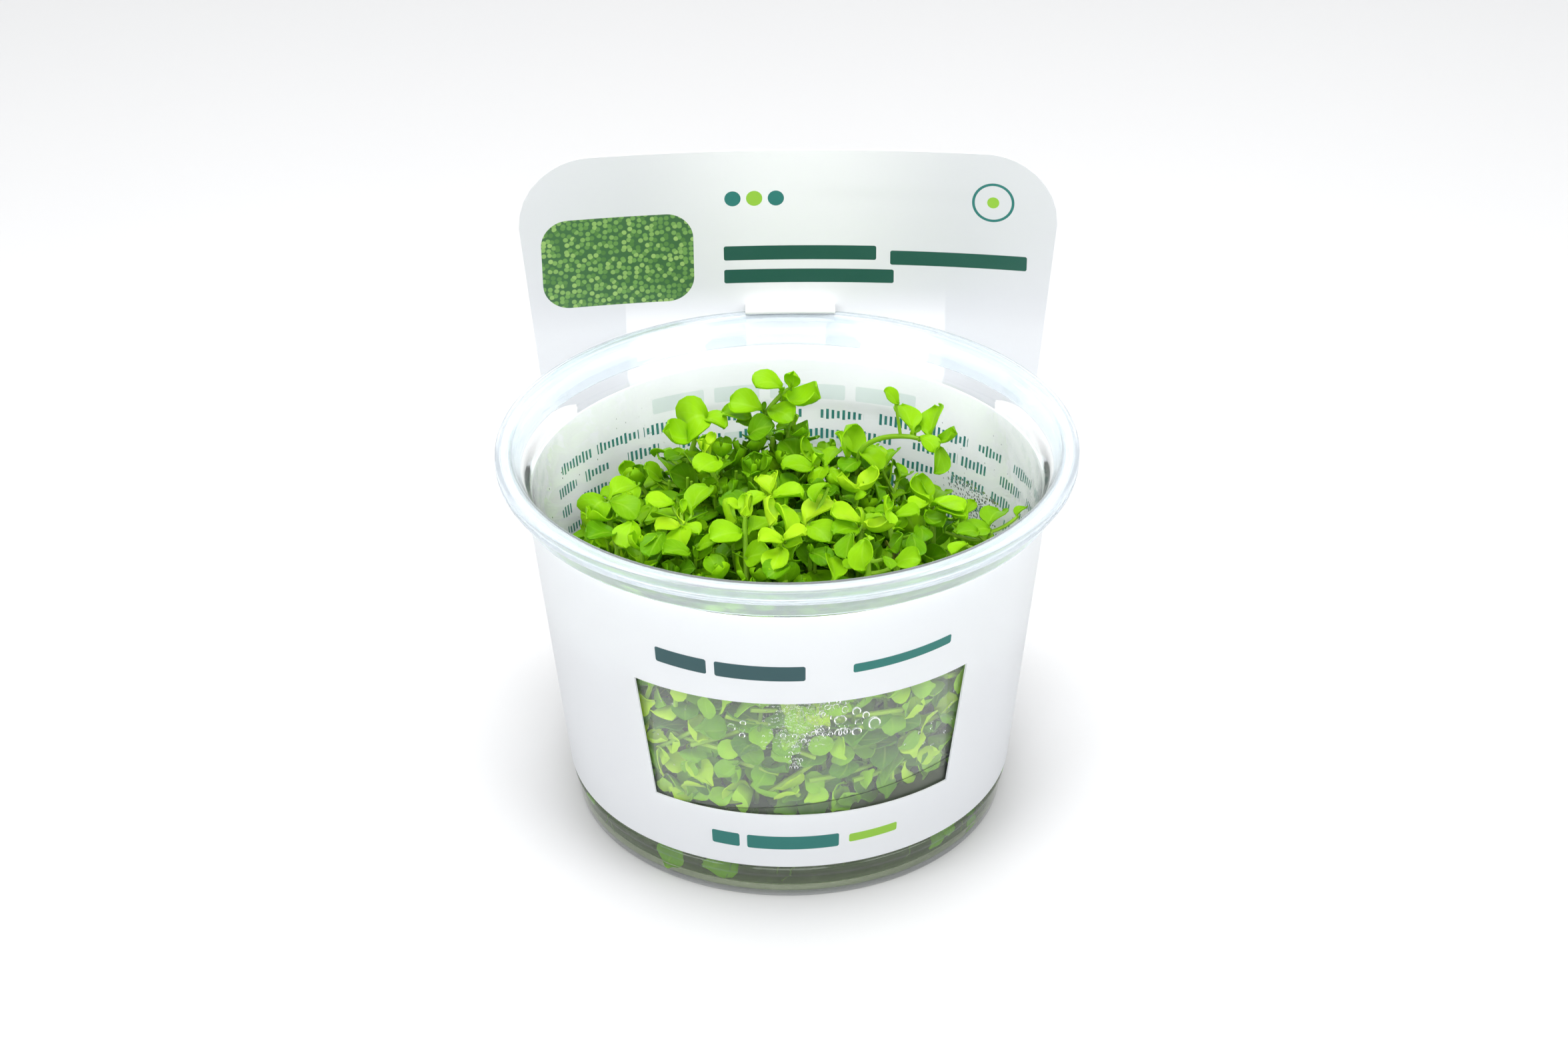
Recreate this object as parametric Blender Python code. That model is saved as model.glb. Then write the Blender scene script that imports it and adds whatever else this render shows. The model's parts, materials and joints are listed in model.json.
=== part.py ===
"""A carpet plant grown in a clear culture cup, with the printed sleeve that wraps the cup.

Sizes are in millimetres and become metres where a mesh is made. The origin is the centre of the cup's
underside, +Z is up, and the sleeve's window and the camera side of the cup face -Y.
"""

import math

import bmesh
import bpy
import numpy as np
from mathutils import Vector
from mathutils.bvhtree import BVHTree

MM = 0.001

# Cup: a moulded cone wall, a stepped shoulder and a rolled rim for the lid
SIDES = 48
BASE_RADIUS = 38.85
WALL_SLOPE = 0.0992
WALL = 0.75
FLOOR = 0.9
RIM_RADIUS = 50.5
RIM_TOP = 70.05
RIM_UNDER = 66.6
RIM_INNER_RADIUS = 47.3
SHOULDER_RADIUS = 48.4
SHOULDER_Z = 63.6
WALL_TOP = 62.6
LEDGE_RADIUS = 45.7
LEDGE_Z = 65.6
STACKING_RIDGE = 0.45
STACKING_RIDGE_Z = 5.4

# Sleeve: one printed sheet round the cone, a header card behind the rim and a tongue over it
CLEARANCE = 0.25
SHEET = 0.35
SLEEVE_BOTTOM = 7.6
SLEEVE_TOP = 61.6
WINDOW_BOTTOM = 19.2
WINDOW_TOP = 43.8
WINDOW_CENTRE_DEG = 3.4
WINDOW_HALF_TOP_DEG = 39.7
WINDOW_HALF_BOTTOM_DEG = 37.4
WINDOW_COLUMNS = 10
BACK_COLUMNS = 34
CARD_TOP = 101.7
CARD_BOTTOM = 49.5
CARD_FREE_Z = 63.0
CARD_Y = 51.05
CARD_CURVE_RADIUS = 230.0
CARD_HALF_TOP = 49.4
CARD_TAPER = 0.0785
CARD_OFFSET = 0.6
CARD_CORNER = 13.0
JOIN_HALF_WIDTH = 10.0
JOIN_FADE_WIDTH = 33.0
TONGUE_LEFT = -7.5
TONGUE_RIGHT = 9.3
TONGUE_LENGTH = 3.9
TONGUE_SLOT = 3.7

# Gel pad and the dense low growth that stands on it
GEL_MIDDLE_TOP = 20.0
GEL_TILT = 0.11
GROWTH_GAP = 0.3
GROWTH_WALL_GAP = 0.9
GROWTH_COLUMNS = 36
GROWTH_RINGS = 7
GROWTH_SIDE_ROWS = 5
DOME_TOP = 49.0
DOME_CENTRE = (-4.0, -4.0)
DOME_DROP = 0.0052
BACK_HOLLOW = 9.0
BACK_HOLLOW_CENTRE = (17.0, 30.0)
BACK_HOLLOW_SPREAD = 15.0
LUMP_DEPTH = 2.6

# Shoots: square stems with opposite leaves in crossed pairs
STEM_HALF = 0.5
STEM_TIP_HALF = 0.3
NODE_HEIGHT = 0.8
STEM_POINTS = 41
PAIR_FROM_TIP = (0.9, 4.2, 8.4, 13.6)
PAIR_SIZE = (0.62, 0.98, 1.0, 0.92)
PAIR_LIFT_DEG = (52.0, 26.0, 12.0, 4.0)
LEAF_LENGTH = 6.1
LEAF_HALF_WIDTH = 2.55
LEAF_HALF_THICK = 0.2
LEAF_DROOP = 0.24
LEAF_STATIONS = ((0.36, 0.80), (0.74, 1.0), (1.0, 0.42))
LEAF_CLEARANCE = 1.02
LEAF_SIZES = (1.0, 0.82, 0.64)
TURN_TRIES = 6

# Each shoot by hand: foot x and y, the point its stem bends towards, its tip, and its leaf pairs
TALL_SHOOTS = (
    ((-6.5, 15.0), (-7.5, 19.0, 62.0), (1.6, 20.0, 69.0), 4),
    ((-13.0, 12.0), (-14.0, 17.0, 58.0), (-18.4, 18.0, 63.4), 3),
    ((-9.5, 5.0), (-11.0, 6.5, 55.0), (-14.9, 9.0, 62.4), 3),
    ((9.5, 14.0), (12.5, 12.0, 66.0), (27.2, 7.5, 64.6), 4),
    ((9.5, 5.0), (9.6, 7.0, 55.0), (6.4, 9.5, 60.6), 3),
    ((-29.0, -4.0), (-31.0, -3.5, 52.0), (-32.0, -2.0, 58.6), 3),
    ((-17.0, -5.0), (-17.5, -6.0, 53.0), (-18.2, -8.0, 57.6), 3),
    ((-2.5, 0.0), (-3.0, -0.5, 54.0), (-2.4, -1.5, 59.4), 3),
    ((-7.5, -14.0), (-7.0, -13.0, 55.0), (-7.2, -12.0, 60.6), 3),
    ((0.5, -21.0), (-0.5, -20.0, 54.0), (-1.0, -19.0, 59.6), 3),
    ((4.5, -9.0), (3.5, -9.0, 52.0), (3.6, -9.0, 57.4), 2),
    ((13.5, -8.0), (12.5, -9.0, 54.0), (12.7, -10.0, 58.2), 3),
    ((12.5, 2.0), (12.0, 3.0, 53.0), (14.2, 1.5, 57.6), 2),
    ((22.5, 1.0), (24.0, 1.5, 50.0), (25.0, 0.5, 55.2), 3),
    ((18.5, 13.0), (18.0, 14.0, 50.0), (19.6, 15.0, 56.2), 3),
    ((30.5, -7.0), (32.0, -6.0, 48.0), (32.6, -5.0, 53.2), 2),
    ((13.5, -22.0), (13.0, -22.5, 52.0), (13.4, -23.0, 57.6), 3),
    ((20.5, -13.0), (20.0, -12.5, 50.0), (20.0, -12.0, 55.4), 2),
)

# The rest stand between them in rings, each ring by radius, count and first angle
RING_SHOOTS = ((17.0, 5, 77.0), (29.0, 9, 10.0), (35.0, 12, 24.0))
RING_SHOOT_HEIGHT = 8.0
RING_SHOOT_LEAN = 1.6
RING_SHOOT_PAIRS = 2
RING_SHOOT_SPACING = 7.6

# Colours, roughness and metallic value of each material
CLEAR_PLASTIC = ((0.86, 0.91, 0.92), 0.12, 0.0)
PRINTED_SHEET = ((0.90, 0.92, 0.94), 0.38, 0.0)
CLEAR_GEL = ((0.52, 0.60, 0.42), 0.2, 0.0)
OLD_LEAF = ((0.13, 0.30, 0.03), 0.5, 0.0)
YOUNG_LEAF = ((0.34, 0.62, 0.05), 0.4, 0.0)


def clear_scene():
    """Take every object out of the file that this script runs in."""
    for old in list(bpy.data.objects):
        bpy.data.objects.remove(old, do_unlink=True)


def material(name, look):
    """A Principled material of one colour."""
    colour, roughness, metallic = look
    made = bpy.data.materials.new(name)
    made.use_nodes = True
    shader = made.node_tree.nodes["Principled BSDF"]
    shader.inputs["Base Color"].default_value = (*colour, 1.0)
    shader.inputs["Roughness"].default_value = roughness
    shader.inputs["Metallic"].default_value = metallic
    return made


def placed(name, mesh_builder, finish):
    """Turn a finished bmesh into a named object in the scene."""
    mesh = bpy.data.meshes.new(name)
    mesh_builder.to_mesh(mesh)
    mesh_builder.free()
    made = bpy.data.objects.new(name, mesh)
    mesh.materials.append(finish)
    bpy.context.scene.collection.objects.link(made)
    return made


def smooth_round(piece, degrees=35.0):
    """Shade a turned piece smooth, with its corners left sharp."""
    piece.data.shade_smooth()
    piece.data.set_sharp_from_angle(angle=math.radians(degrees))


def wall_radius(z):
    """Radius of the cone wall's outer face at a height."""
    return BASE_RADIUS + WALL_SLOPE * z


def inner_radius(z):
    """Radius of the cone wall's inner face at a height."""
    return wall_radius(z) - WALL


def turned(name, profile, finish):
    """Spin a closed profile of radius and height about the upright axis."""
    form = bmesh.new()
    verts = [form.verts.new(Vector((r, 0.0, z)) * MM) for r, z in profile]
    edges = [form.edges.new(pair) for pair in zip(verts, verts[1:])]
    bmesh.ops.spin(
        form,
        geom=verts + edges,
        cent=(0, 0, 0),
        axis=(0, 0, 1),
        angle=math.tau,
        steps=SIDES,
        use_merge=True,
    )
    bmesh.ops.remove_doubles(form, verts=form.verts[:], dist=1e-7)
    bmesh.ops.recalc_face_normals(form, faces=form.faces[:])
    made = placed(name, form, finish)
    smooth_round(made)
    return made


def cup_profile():
    """Outside of the cup from the axis up to the rim, then its inside back down to the axis."""
    ridge = STACKING_RIDGE_Z
    return (
        (0.0, 0.0),
        (BASE_RADIUS - 0.7, 0.0),
        (wall_radius(0.7), 0.7),
        (wall_radius(ridge - 0.5), ridge - 0.5),
        (wall_radius(ridge) + STACKING_RIDGE, ridge),
        (wall_radius(ridge + 1.0) + STACKING_RIDGE, ridge + 1.0),
        (wall_radius(ridge + 1.4), ridge + 1.4),
        (wall_radius(WALL_TOP), WALL_TOP),
        (SHOULDER_RADIUS - 0.4, SHOULDER_Z),
        (SHOULDER_RADIUS + 0.2, RIM_UNDER),
        (RIM_RADIUS, RIM_UNDER + 0.5),
        (RIM_RADIUS, RIM_TOP - 0.8),
        (RIM_RADIUS - 1.1, RIM_TOP),
        (RIM_INNER_RADIUS + 0.6, RIM_TOP),
        (RIM_INNER_RADIUS - 0.1, RIM_TOP - 0.5),
        (LEDGE_RADIUS, LEDGE_Z),
        (inner_radius(WALL_TOP), WALL_TOP + 0.3),
        (inner_radius(FLOOR + 0.8), FLOOR + 0.8),
        (inner_radius(FLOOR) - 1.0, FLOOR),
        (0.0, FLOOR),
    )


def gel_top(x):
    """Height of the gel's surface, which lies a little higher at the right."""
    return GEL_MIDDLE_TOP + GEL_TILT * x


def make_gel(finish):
    """The gel pad: a turned plug, with its top ring and top centre set to the sloping surface."""
    floor = FLOOR + CLEARANCE
    profile = (
        (0.0, floor),
        (inner_radius(floor) - 1.4, floor),
        (inner_radius(floor + 1.2) - CLEARANCE, floor + 1.2),
        (inner_radius(GEL_MIDDLE_TOP) - CLEARANCE, GEL_MIDDLE_TOP),
        (inner_radius(GEL_MIDDLE_TOP) - 2.0, GEL_MIDDLE_TOP - 0.6),
        (0.0, GEL_MIDDLE_TOP - 0.6),
    )
    made = turned("nutrient_gel", profile, finish)
    for vert in made.data.vertices:
        if vert.co.z < 0.7 * GEL_MIDDLE_TOP * MM:
            continue
        rise = GEL_TILT * vert.co.x
        angle = math.atan2(vert.co.y, vert.co.x)
        radius = math.hypot(vert.co.x, vert.co.y)
        if radius > 0:
            radius += WALL_SLOPE * rise
        vert.co = (radius * math.cos(angle), radius * math.sin(angle), vert.co.z + rise)
    return made


def from_front(radius, degrees, z):
    """A point at an angle counted from the front of the cup towards its right."""
    angle = math.radians(degrees)
    return Vector((radius * math.sin(angle), -radius * math.cos(angle), z)) * MM


def band_angles(z):
    """Angles of the band's columns at a height: the window's own, then the rest of the way round."""
    share = min(max((z - WINDOW_BOTTOM) / (WINDOW_TOP - WINDOW_BOTTOM), 0.0), 1.0)
    half = WINDOW_HALF_BOTTOM_DEG + share * (WINDOW_HALF_TOP_DEG - WINDOW_HALF_BOTTOM_DEG)
    left, right = WINDOW_CENTRE_DEG - half, WINDOW_CENTRE_DEG + half
    front = np.linspace(left, right, WINDOW_COLUMNS + 1)
    behind = np.linspace(right, left + 360.0, BACK_COLUMNS + 1)
    return np.concatenate([front, behind[1:-1]])


def make_band():
    """Middle surface of the band round the cone, with the window left open."""
    form = bmesh.new()
    heights = (SLEEVE_BOTTOM, WINDOW_BOTTOM, WINDOW_TOP, SLEEVE_TOP)
    rows = []
    for z in heights:
        radius = wall_radius(z) + CLEARANCE + SHEET / 2
        rows.append([form.verts.new(from_front(radius, a, z)) for a in band_angles(z)])
    for row, (low, high) in enumerate(zip(rows, rows[1:])):
        for column in range(len(low)):
            if row == 1 and column < WINDOW_COLUMNS:
                continue
            after = (column + 1) % len(low)
            form.faces.new((low[column], low[after], high[after], high[column]))
    return form


def card_half_width(z):
    """Half the header card's width at a height, with its rounded top corners."""
    half = CARD_HALF_TOP - CARD_TAPER * max(CARD_TOP - CARD_CORNER - z, 0.0)
    into_corner = z - (CARD_TOP - CARD_CORNER)
    if into_corner <= 0:
        return half
    return half - CARD_CORNER + math.sqrt(max(CARD_CORNER**2 - into_corner**2, 0.0))


def smooth_step(value):
    """Ease from 0 to 1."""
    value = min(max(value, 0.0), 1.0)
    return value * value * (3.0 - 2.0 * value)


def card_y(x, z):
    """Depth of the header card: a gentle curve behind the rim, drawn in to the band at its foot."""
    plate = CARD_Y - (x - CARD_OFFSET) ** 2 / (2.0 * CARD_CURVE_RADIUS)
    radius = wall_radius(z) + CLEARANCE + SHEET
    on_band = radius - x * x / (2.0 * radius)
    down = 1.0 - smooth_step((z - CARD_BOTTOM) / (CARD_FREE_Z - CARD_BOTTOM))
    near = 1.0 - smooth_step((abs(x) - JOIN_HALF_WIDTH) / (JOIN_FADE_WIDTH - JOIN_HALF_WIDTH))
    return plate + (on_band - plate) * down * near


def card_columns(half):
    """Places across the card, with the tongue's two edges among them."""
    left = [-half + CARD_OFFSET + (TONGUE_LEFT + half - CARD_OFFSET) * i / 6 for i in range(6)]
    right = [TONGUE_RIGHT + (half + CARD_OFFSET - TONGUE_RIGHT) * i / 6 for i in range(1, 7)]
    middle = [TONGUE_LEFT, (TONGUE_LEFT + TONGUE_RIGHT) / 2, TONGUE_RIGHT]
    return left + middle + right


def make_card():
    """Middle surface of the header card, with the tongue cut from it and folded over the rim."""
    fold = RIM_TOP + CLEARANCE + SHEET / 2
    corner = CARD_TOP - CARD_CORNER
    heights = [CARD_BOTTOM, 52.5, 56.0, 59.5, CARD_FREE_Z, fold - TONGUE_SLOT, fold, 79.0, corner]
    heights += [corner + CARD_CORNER * math.sin(math.radians(a)) for a in (25, 45, 62, 78)]
    heights.append(CARD_TOP)
    form = bmesh.new()
    rows = []
    for z in heights:
        half = card_half_width(min(z, CARD_TOP - 0.02))
        rows.append([form.verts.new(Vector((x, card_y(x, z), z)) * MM) for x in card_columns(half)])
    slot_row = heights.index(fold) - 1
    slot = (6, 7)
    for row, (low, high) in enumerate(zip(rows, rows[1:])):
        for column in range(len(low) - 1):
            if row == slot_row and column in slot:
                continue
            form.faces.new((low[column], high[column], high[column + 1], low[column + 1]))
    hinge = rows[slot_row + 1][6:9]
    ends = [form.verts.new(v.co - Vector((0.0, TONGUE_LENGTH, 0.0)) * MM) for v in hinge]
    for i in (0, 1):
        form.faces.new((ends[i], hinge[i], hinge[i + 1], ends[i + 1]))
    return form


def thicken(piece):
    """Give a sheet's middle surface its thickness, half to each side."""
    solidify = piece.modifiers.new("sheet thickness", "SOLIDIFY")
    solidify.thickness = SHEET * MM
    solidify.offset = 0.0
    solidify.use_even_offset = True


def make_sleeve(finish):
    """The printed sheet: the band and the header card, joined where the card leaves the band."""
    card = placed("header_card_form", make_card(), finish)
    thicken(card)
    card.hide_render = True
    card.display_type = "WIRE"
    sleeve = placed("label_sleeve", make_band(), finish)
    thicken(sleeve)
    join = sleeve.modifiers.new("card joined to band", "BOOLEAN")
    join.operation = "UNION"
    join.object = card
    return sleeve


def growth_top(x, y):
    """Height of the low growth's dome, which is hollowed out at the back and right."""
    off_x, off_y = x - DOME_CENTRE[0], y - DOME_CENTRE[1]
    dome = DOME_TOP - DOME_DROP * (off_x * off_x + off_y * off_y)
    far_x, far_y = x - BACK_HOLLOW_CENTRE[0], y - BACK_HOLLOW_CENTRE[1]
    hollow = math.exp(-(far_x * far_x + far_y * far_y) / (2.0 * BACK_HOLLOW_SPREAD**2))
    return dome - BACK_HOLLOW * hollow


def lump(x, y, z):
    """A dent between leaves, from 0 to 1, that comes about once a leaf's length each way."""
    wave = math.sin(0.95 * x + 0.5 * z) + math.sin(0.85 * y - 0.35 * x + 0.6 * z)
    return 0.5 + 0.25 * wave


def make_growth(finish):
    """The dense low growth: a lumpy dome that fills the cup from the gel up, a hair off the wall."""
    form = bmesh.new()
    step = math.tau / GROWTH_COLUMNS

    def point(radius, column, z):
        angle = column * step
        return form.verts.new(Vector((radius * math.cos(angle), radius * math.sin(angle), z)) * MM)

    rings = []
    floor_ring = []
    for column in range(GROWTH_COLUMNS):
        x = inner_radius(GEL_MIDDLE_TOP) * math.cos(column * step)
        z = gel_top(x) + GROWTH_GAP
        floor_ring.append(point(inner_radius(z) - GROWTH_WALL_GAP, column, z))
    rings.append(floor_ring)
    for row in range(1, GROWTH_SIDE_ROWS + 1):
        side = []
        for column in range(GROWTH_COLUMNS):
            edge = inner_radius(45.0) - GROWTH_WALL_GAP
            high = growth_top(edge * math.cos(column * step), edge * math.sin(column * step)) - 2.0
            low = gel_top(inner_radius(GEL_MIDDLE_TOP) * math.cos(column * step)) + GROWTH_GAP
            z = low + (high - low) * row / GROWTH_SIDE_ROWS
            dent = lump(edge * math.cos(column * step), edge * math.sin(column * step), z)
            inward = GROWTH_WALL_GAP + LUMP_DEPTH * 0.6 * dent
            side.append(point(inner_radius(z) - inward, column, z))
        rings.append(side)
    for ring in range(1, GROWTH_RINGS):
        flat = []
        radius = (inner_radius(45.0) - GROWTH_WALL_GAP) * (1.0 - ring / GROWTH_RINGS)
        for column in range(GROWTH_COLUMNS):
            x, y = radius * math.cos(column * step), radius * math.sin(column * step)
            flat.append(point(radius, column, growth_top(x, y) - LUMP_DEPTH * lump(x, y, 0.0)))
        rings.append(flat)
    for low, high in zip(rings, rings[1:]):
        for column in range(GROWTH_COLUMNS):
            after = (column + 1) % GROWTH_COLUMNS
            form.faces.new((low[column], low[after], high[after], high[column]))
    under = form.verts.new(Vector((0.0, 0.0, gel_top(0.0) + GROWTH_GAP)) * MM)
    peak = growth_top(0.0, 0.0) - LUMP_DEPTH * lump(0.0, 0.0, 0.0)
    over = form.verts.new(Vector((0.0, 0.0, peak)) * MM)
    for column in range(GROWTH_COLUMNS):
        after = (column + 1) % GROWTH_COLUMNS
        form.faces.new((under, rings[0][after], rings[0][column]))
        form.faces.new((over, rings[-1][column], rings[-1][after]))
    bmesh.ops.recalc_face_normals(form, faces=form.faces[:])
    return placed("carpet_growth", form, finish)


def ring_shoots(taken):
    """Feet, bends and tips of the shoots that stand in rings, where no other tip is near."""
    found = []
    tips = [np.array(tip) for _, _, tip, _ in taken]
    for radius, count, first in RING_SHOOTS:
        for i in range(count):
            angle = math.radians(first + 360.0 * i / count)
            x, y = radius * math.cos(angle), radius * math.sin(angle)
            height = RING_SHOOT_HEIGHT + 1.5 * math.sin(2.1 * i + radius)
            tip = np.array((x, y, growth_top(x, y) + height))
            if any(np.linalg.norm(tip[:2] - other[:2]) < RING_SHOOT_SPACING for other in tips):
                continue
            foot = (x - RING_SHOOT_LEAN * math.cos(3.0 * angle), y - RING_SHOOT_LEAN * math.sin(3.0 * angle))
            bend = (foot[0], foot[1], tip[2] - 0.4 * height)
            found.append((foot, bend, tuple(tip), RING_SHOOT_PAIRS))
            tips.append(tip)
    return found


def stem_path(foot, bend, tip):
    """Points up a shoot's stem, on one smooth bow from its foot to its tip."""
    start = np.array((foot[0], foot[1], growth_top(*foot) + GROWTH_GAP))
    share = np.linspace(0.0, 1.0, STEM_POINTS)[:, None]
    return (1 - share) ** 2 * start + 2 * share * (1 - share) * np.array(bend) + share**2 * np.array(tip)


def unit(vector):
    """A vector of length one."""
    return vector / np.linalg.norm(vector)


def along(path, distance):
    """Place and direction on a stem at a distance back from its tip."""
    steps = np.linalg.norm(np.diff(path, axis=0), axis=1)
    from_tip = np.concatenate([[0.0], np.cumsum(steps[::-1])])
    places = path[::-1]
    at = [np.interp(distance, from_tip, places[:, k]) for k in range(3)]
    ahead = [np.interp(max(distance - 0.5, 0.0), from_tip, places[:, k]) for k in range(3)]
    behind = [np.interp(distance + 0.5, from_tip, places[:, k]) for k in range(3)]
    return np.array(at), unit(np.array(ahead) - np.array(behind))


def side_of(direction, degrees):
    """A direction square to the stem, turned about it by an angle from the cup's own right."""
    right = unit(np.cross(np.array((0.0, 1.0, 0.0)), direction))
    back = np.cross(direction, right)
    angle = math.radians(degrees)
    return math.cos(angle) * right + math.sin(angle) * back


def leaf_line(seat, outward, direction, size, lift_deg):
    """A leaf's middle line: points, half widths, its cross direction and its upper side."""
    lift = math.radians(lift_deg)
    ahead = math.cos(lift) * outward + math.sin(lift) * direction
    above = math.cos(lift) * direction - math.sin(lift) * outward
    across = np.cross(ahead, above)
    length = LEAF_LENGTH * size

    def point(share):
        return seat + length * (share * ahead - LEAF_DROOP * share * share * above)

    return point, LEAF_HALF_WIDTH * size, across, above


def leaf_samples(line):
    """Points spread over a leaf's blade, to test its room."""
    point, half, across, _ = line
    found = []
    for share, width in ((0.25, 0.5), (0.42, 0.8), (0.58, 0.95), (0.74, 1.0), (0.9, 0.7), (1.0, 0.4)):
        for side in (-1.0, -0.5, 0.0, 0.5, 1.0):
            found.append(point(share) + side * width * half * across)
    return np.array(found)


def is_clear(samples, taken):
    """True where no sample is close to a point that another shoot has taken, or to the cup's wall."""
    if np.any(np.hypot(samples[:, 0], samples[:, 1]) > inner_radius(samples[:, 2]) - 1.0):
        return False
    if not len(taken):
        return True
    gaps = np.linalg.norm(samples[:, None, :] - taken[None, :, :], axis=2)
    return gaps.min() > LEAF_CLEARANCE


def grown_leaves(path, pairs, turn, taken):
    """The leaves that fit on a stem with its first pair at an angle: seat, pair, side and size."""
    leaves = []
    own = np.zeros((0, 3))
    for pair in range(pairs):
        seat, direction = along(path, PAIR_FROM_TIP[pair])
        for opposite in (0, 1):
            outward = side_of(direction, turn + 90.0 * pair + 180.0 * opposite)
            for size in LEAF_SIZES:
                scale = size * PAIR_SIZE[pair]
                line = leaf_line(seat, outward, direction, scale, PAIR_LIFT_DEG[pair])
                samples = leaf_samples(line)
                lumps = [growth_top(x, y) for x, y, _ in samples]
                if np.any(samples[:, 2] < np.array(lumps) + 0.5):
                    continue
                if is_clear(samples, taken) and is_clear(samples, own):
                    leaves.append((pair, opposite, line))
                    own = np.concatenate([own, samples])
                    break
    return leaves, own


def stem_samples(path):
    """Points up a stem, to test its room."""
    return path[:: max(1, STEM_POINTS // 24)]


def grow_shoots():
    """Every shoot's path, turn and leaves: each turns to the angle at which most leaves have room."""
    plans = list(TALL_SHOOTS)
    plans += ring_shoots(plans)
    paths = [stem_path(foot, bend, tip) for foot, bend, tip, _ in plans]
    stems = [stem_samples(path) for path in paths]
    grown = []
    blades = np.zeros((0, 3))
    for index, (_, _, _, pairs) in enumerate(plans):
        others = [stem for i, stem in enumerate(stems) if i != index]
        taken = np.concatenate(others + [blades])
        best = None
        for attempt in range(TURN_TRIES):
            turn = 37.0 * index + 90.0 * attempt / TURN_TRIES
            leaves, own = grown_leaves(paths[index], pairs, turn, taken)
            if best is None or len(own) > len(best[2]):
                best = (turn, leaves, own)
        grown.append((paths[index], pairs, best[0], best[1]))
        blades = np.concatenate([blades, best[2]])
    return grown


def corner_ring(form, centre, direction, turn, half):
    """Four corners of the square stem, square to its direction, facing the leaf pairs."""
    one, two = side_of(direction, turn), side_of(direction, turn + 90.0)
    corners = (one - two, one + two, two - one, -one - two)
    return [form.verts.new(Vector(centre + half * corner) * MM) for corner in corners]


def raise_leaf(form, face, line):
    """Extrude a leaf from a face of the stem, station by station, to its tip."""
    point, half, across, above = line
    for share, width in LEAF_STATIONS:
        face = bmesh.ops.extrude_discrete_faces(form, faces=[face])["faces"][0]
        centre = point(share)
        ranked = sorted(face.verts, key=lambda v: v.co.dot(Vector(above)))
        for group, rise in ((ranked[:2], -LEAF_HALF_THICK), (ranked[2:], LEAF_HALF_THICK)):
            sides = sorted(group, key=lambda v: v.co.dot(Vector(across)))
            for vert, side in zip(sides, (-1.0, 1.0)):
                vert.co = Vector(centre + side * width * half * across + rise * above) * MM


def make_shoot(name, plan, surface, finish):
    """One shoot: a square stem from the growth to its tip, with its leaves extruded from its sides."""
    path, pairs, turn, leaves = plan
    form = bmesh.new()
    total = np.linalg.norm(np.diff(path, axis=0), axis=1).sum()
    stops = [(0.0, STEM_TIP_HALF, None)]
    for pair in range(pairs):
        near = PAIR_FROM_TIP[pair]
        stops += [(near - NODE_HEIGHT / 2, STEM_HALF, None), (near + NODE_HEIGHT / 2, STEM_HALF, pair)]
    if total - stops[-1][0] > 5.0:
        stops.append(((total + stops[-1][0]) / 2, STEM_HALF, None))
    stops.append((total, STEM_HALF, None))
    rings = []
    for distance, half, _ in stops:
        centre, direction = along(path, distance)
        rings.append(corner_ring(form, centre, direction, turn, half))
    hits = [surface.ray_cast(v.co + Vector((0, 0, 5.0)) * MM, Vector((0, 0, -1)))[0] for v in rings[-1]]
    for vert in rings[-1]:
        vert.co.z = max(hit.z for hit in hits) + GROWTH_GAP * MM
    for high, low, (_, _, pair) in zip(rings, rings[1:], stops[1:]):
        for side in range(4):
            after = (side + 1) % 4
            form.faces.new((low[side], low[after], high[after], high[side]))
    form.faces.new(rings[0])
    form.faces.new(rings[-1][::-1])
    form.normal_update()
    for pair, opposite, line in leaves:
        outward = Vector(side_of(along(path, PAIR_FROM_TIP[pair])[1], turn + 90.0 * pair + 180.0 * opposite))
        seat = Vector(along(path, PAIR_FROM_TIP[pair])[0]) * MM
        faces = [f for f in form.faces if f.normal.dot(outward) > 0.9]
        face = min(faces, key=lambda f: (f.calc_center_median() - seat).length)
        raise_leaf(form, face, line)
    bmesh.ops.recalc_face_normals(form, faces=form.faces[:])
    return placed(name, form, finish)


def build():
    """Make every piece of the cup and its plant."""
    clear_scene()
    clear = material("clear plastic", CLEAR_PLASTIC)
    sheet = material("printed sheet", PRINTED_SHEET)
    gel = material("clear gel", CLEAR_GEL)
    old_leaf = material("old leaf", OLD_LEAF)
    young_leaf = material("young leaf", YOUNG_LEAF)
    turned("culture_cup", cup_profile(), clear)
    make_sleeve(sheet)
    make_gel(gel)
    growth = make_growth(old_leaf)
    bpy.context.view_layer.update()
    surface = BVHTree.FromObject(growth, bpy.context.evaluated_depsgraph_get())
    for number, plan in enumerate(grow_shoots(), start=1):
        make_shoot(f"shoot_{number:02d}", plan, surface, young_leaf)


build()
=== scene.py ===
"""Looks of a carpet plant grown in a clear culture cup with a printed sleeve.

Sizes in the classes are in millimetres and become metres where a mesh is made. The origin is the
centre of the cup's underside, +Z is up, and the sleeve's window and the camera face -Y.
"""

import json
import logging
import math
from collections.abc import Callable, Sequence
from dataclasses import dataclass, field
from enum import Enum
from typing import NamedTuple

import bmesh
import bpy
import numpy as np
from mathutils import Matrix, Vector

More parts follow.
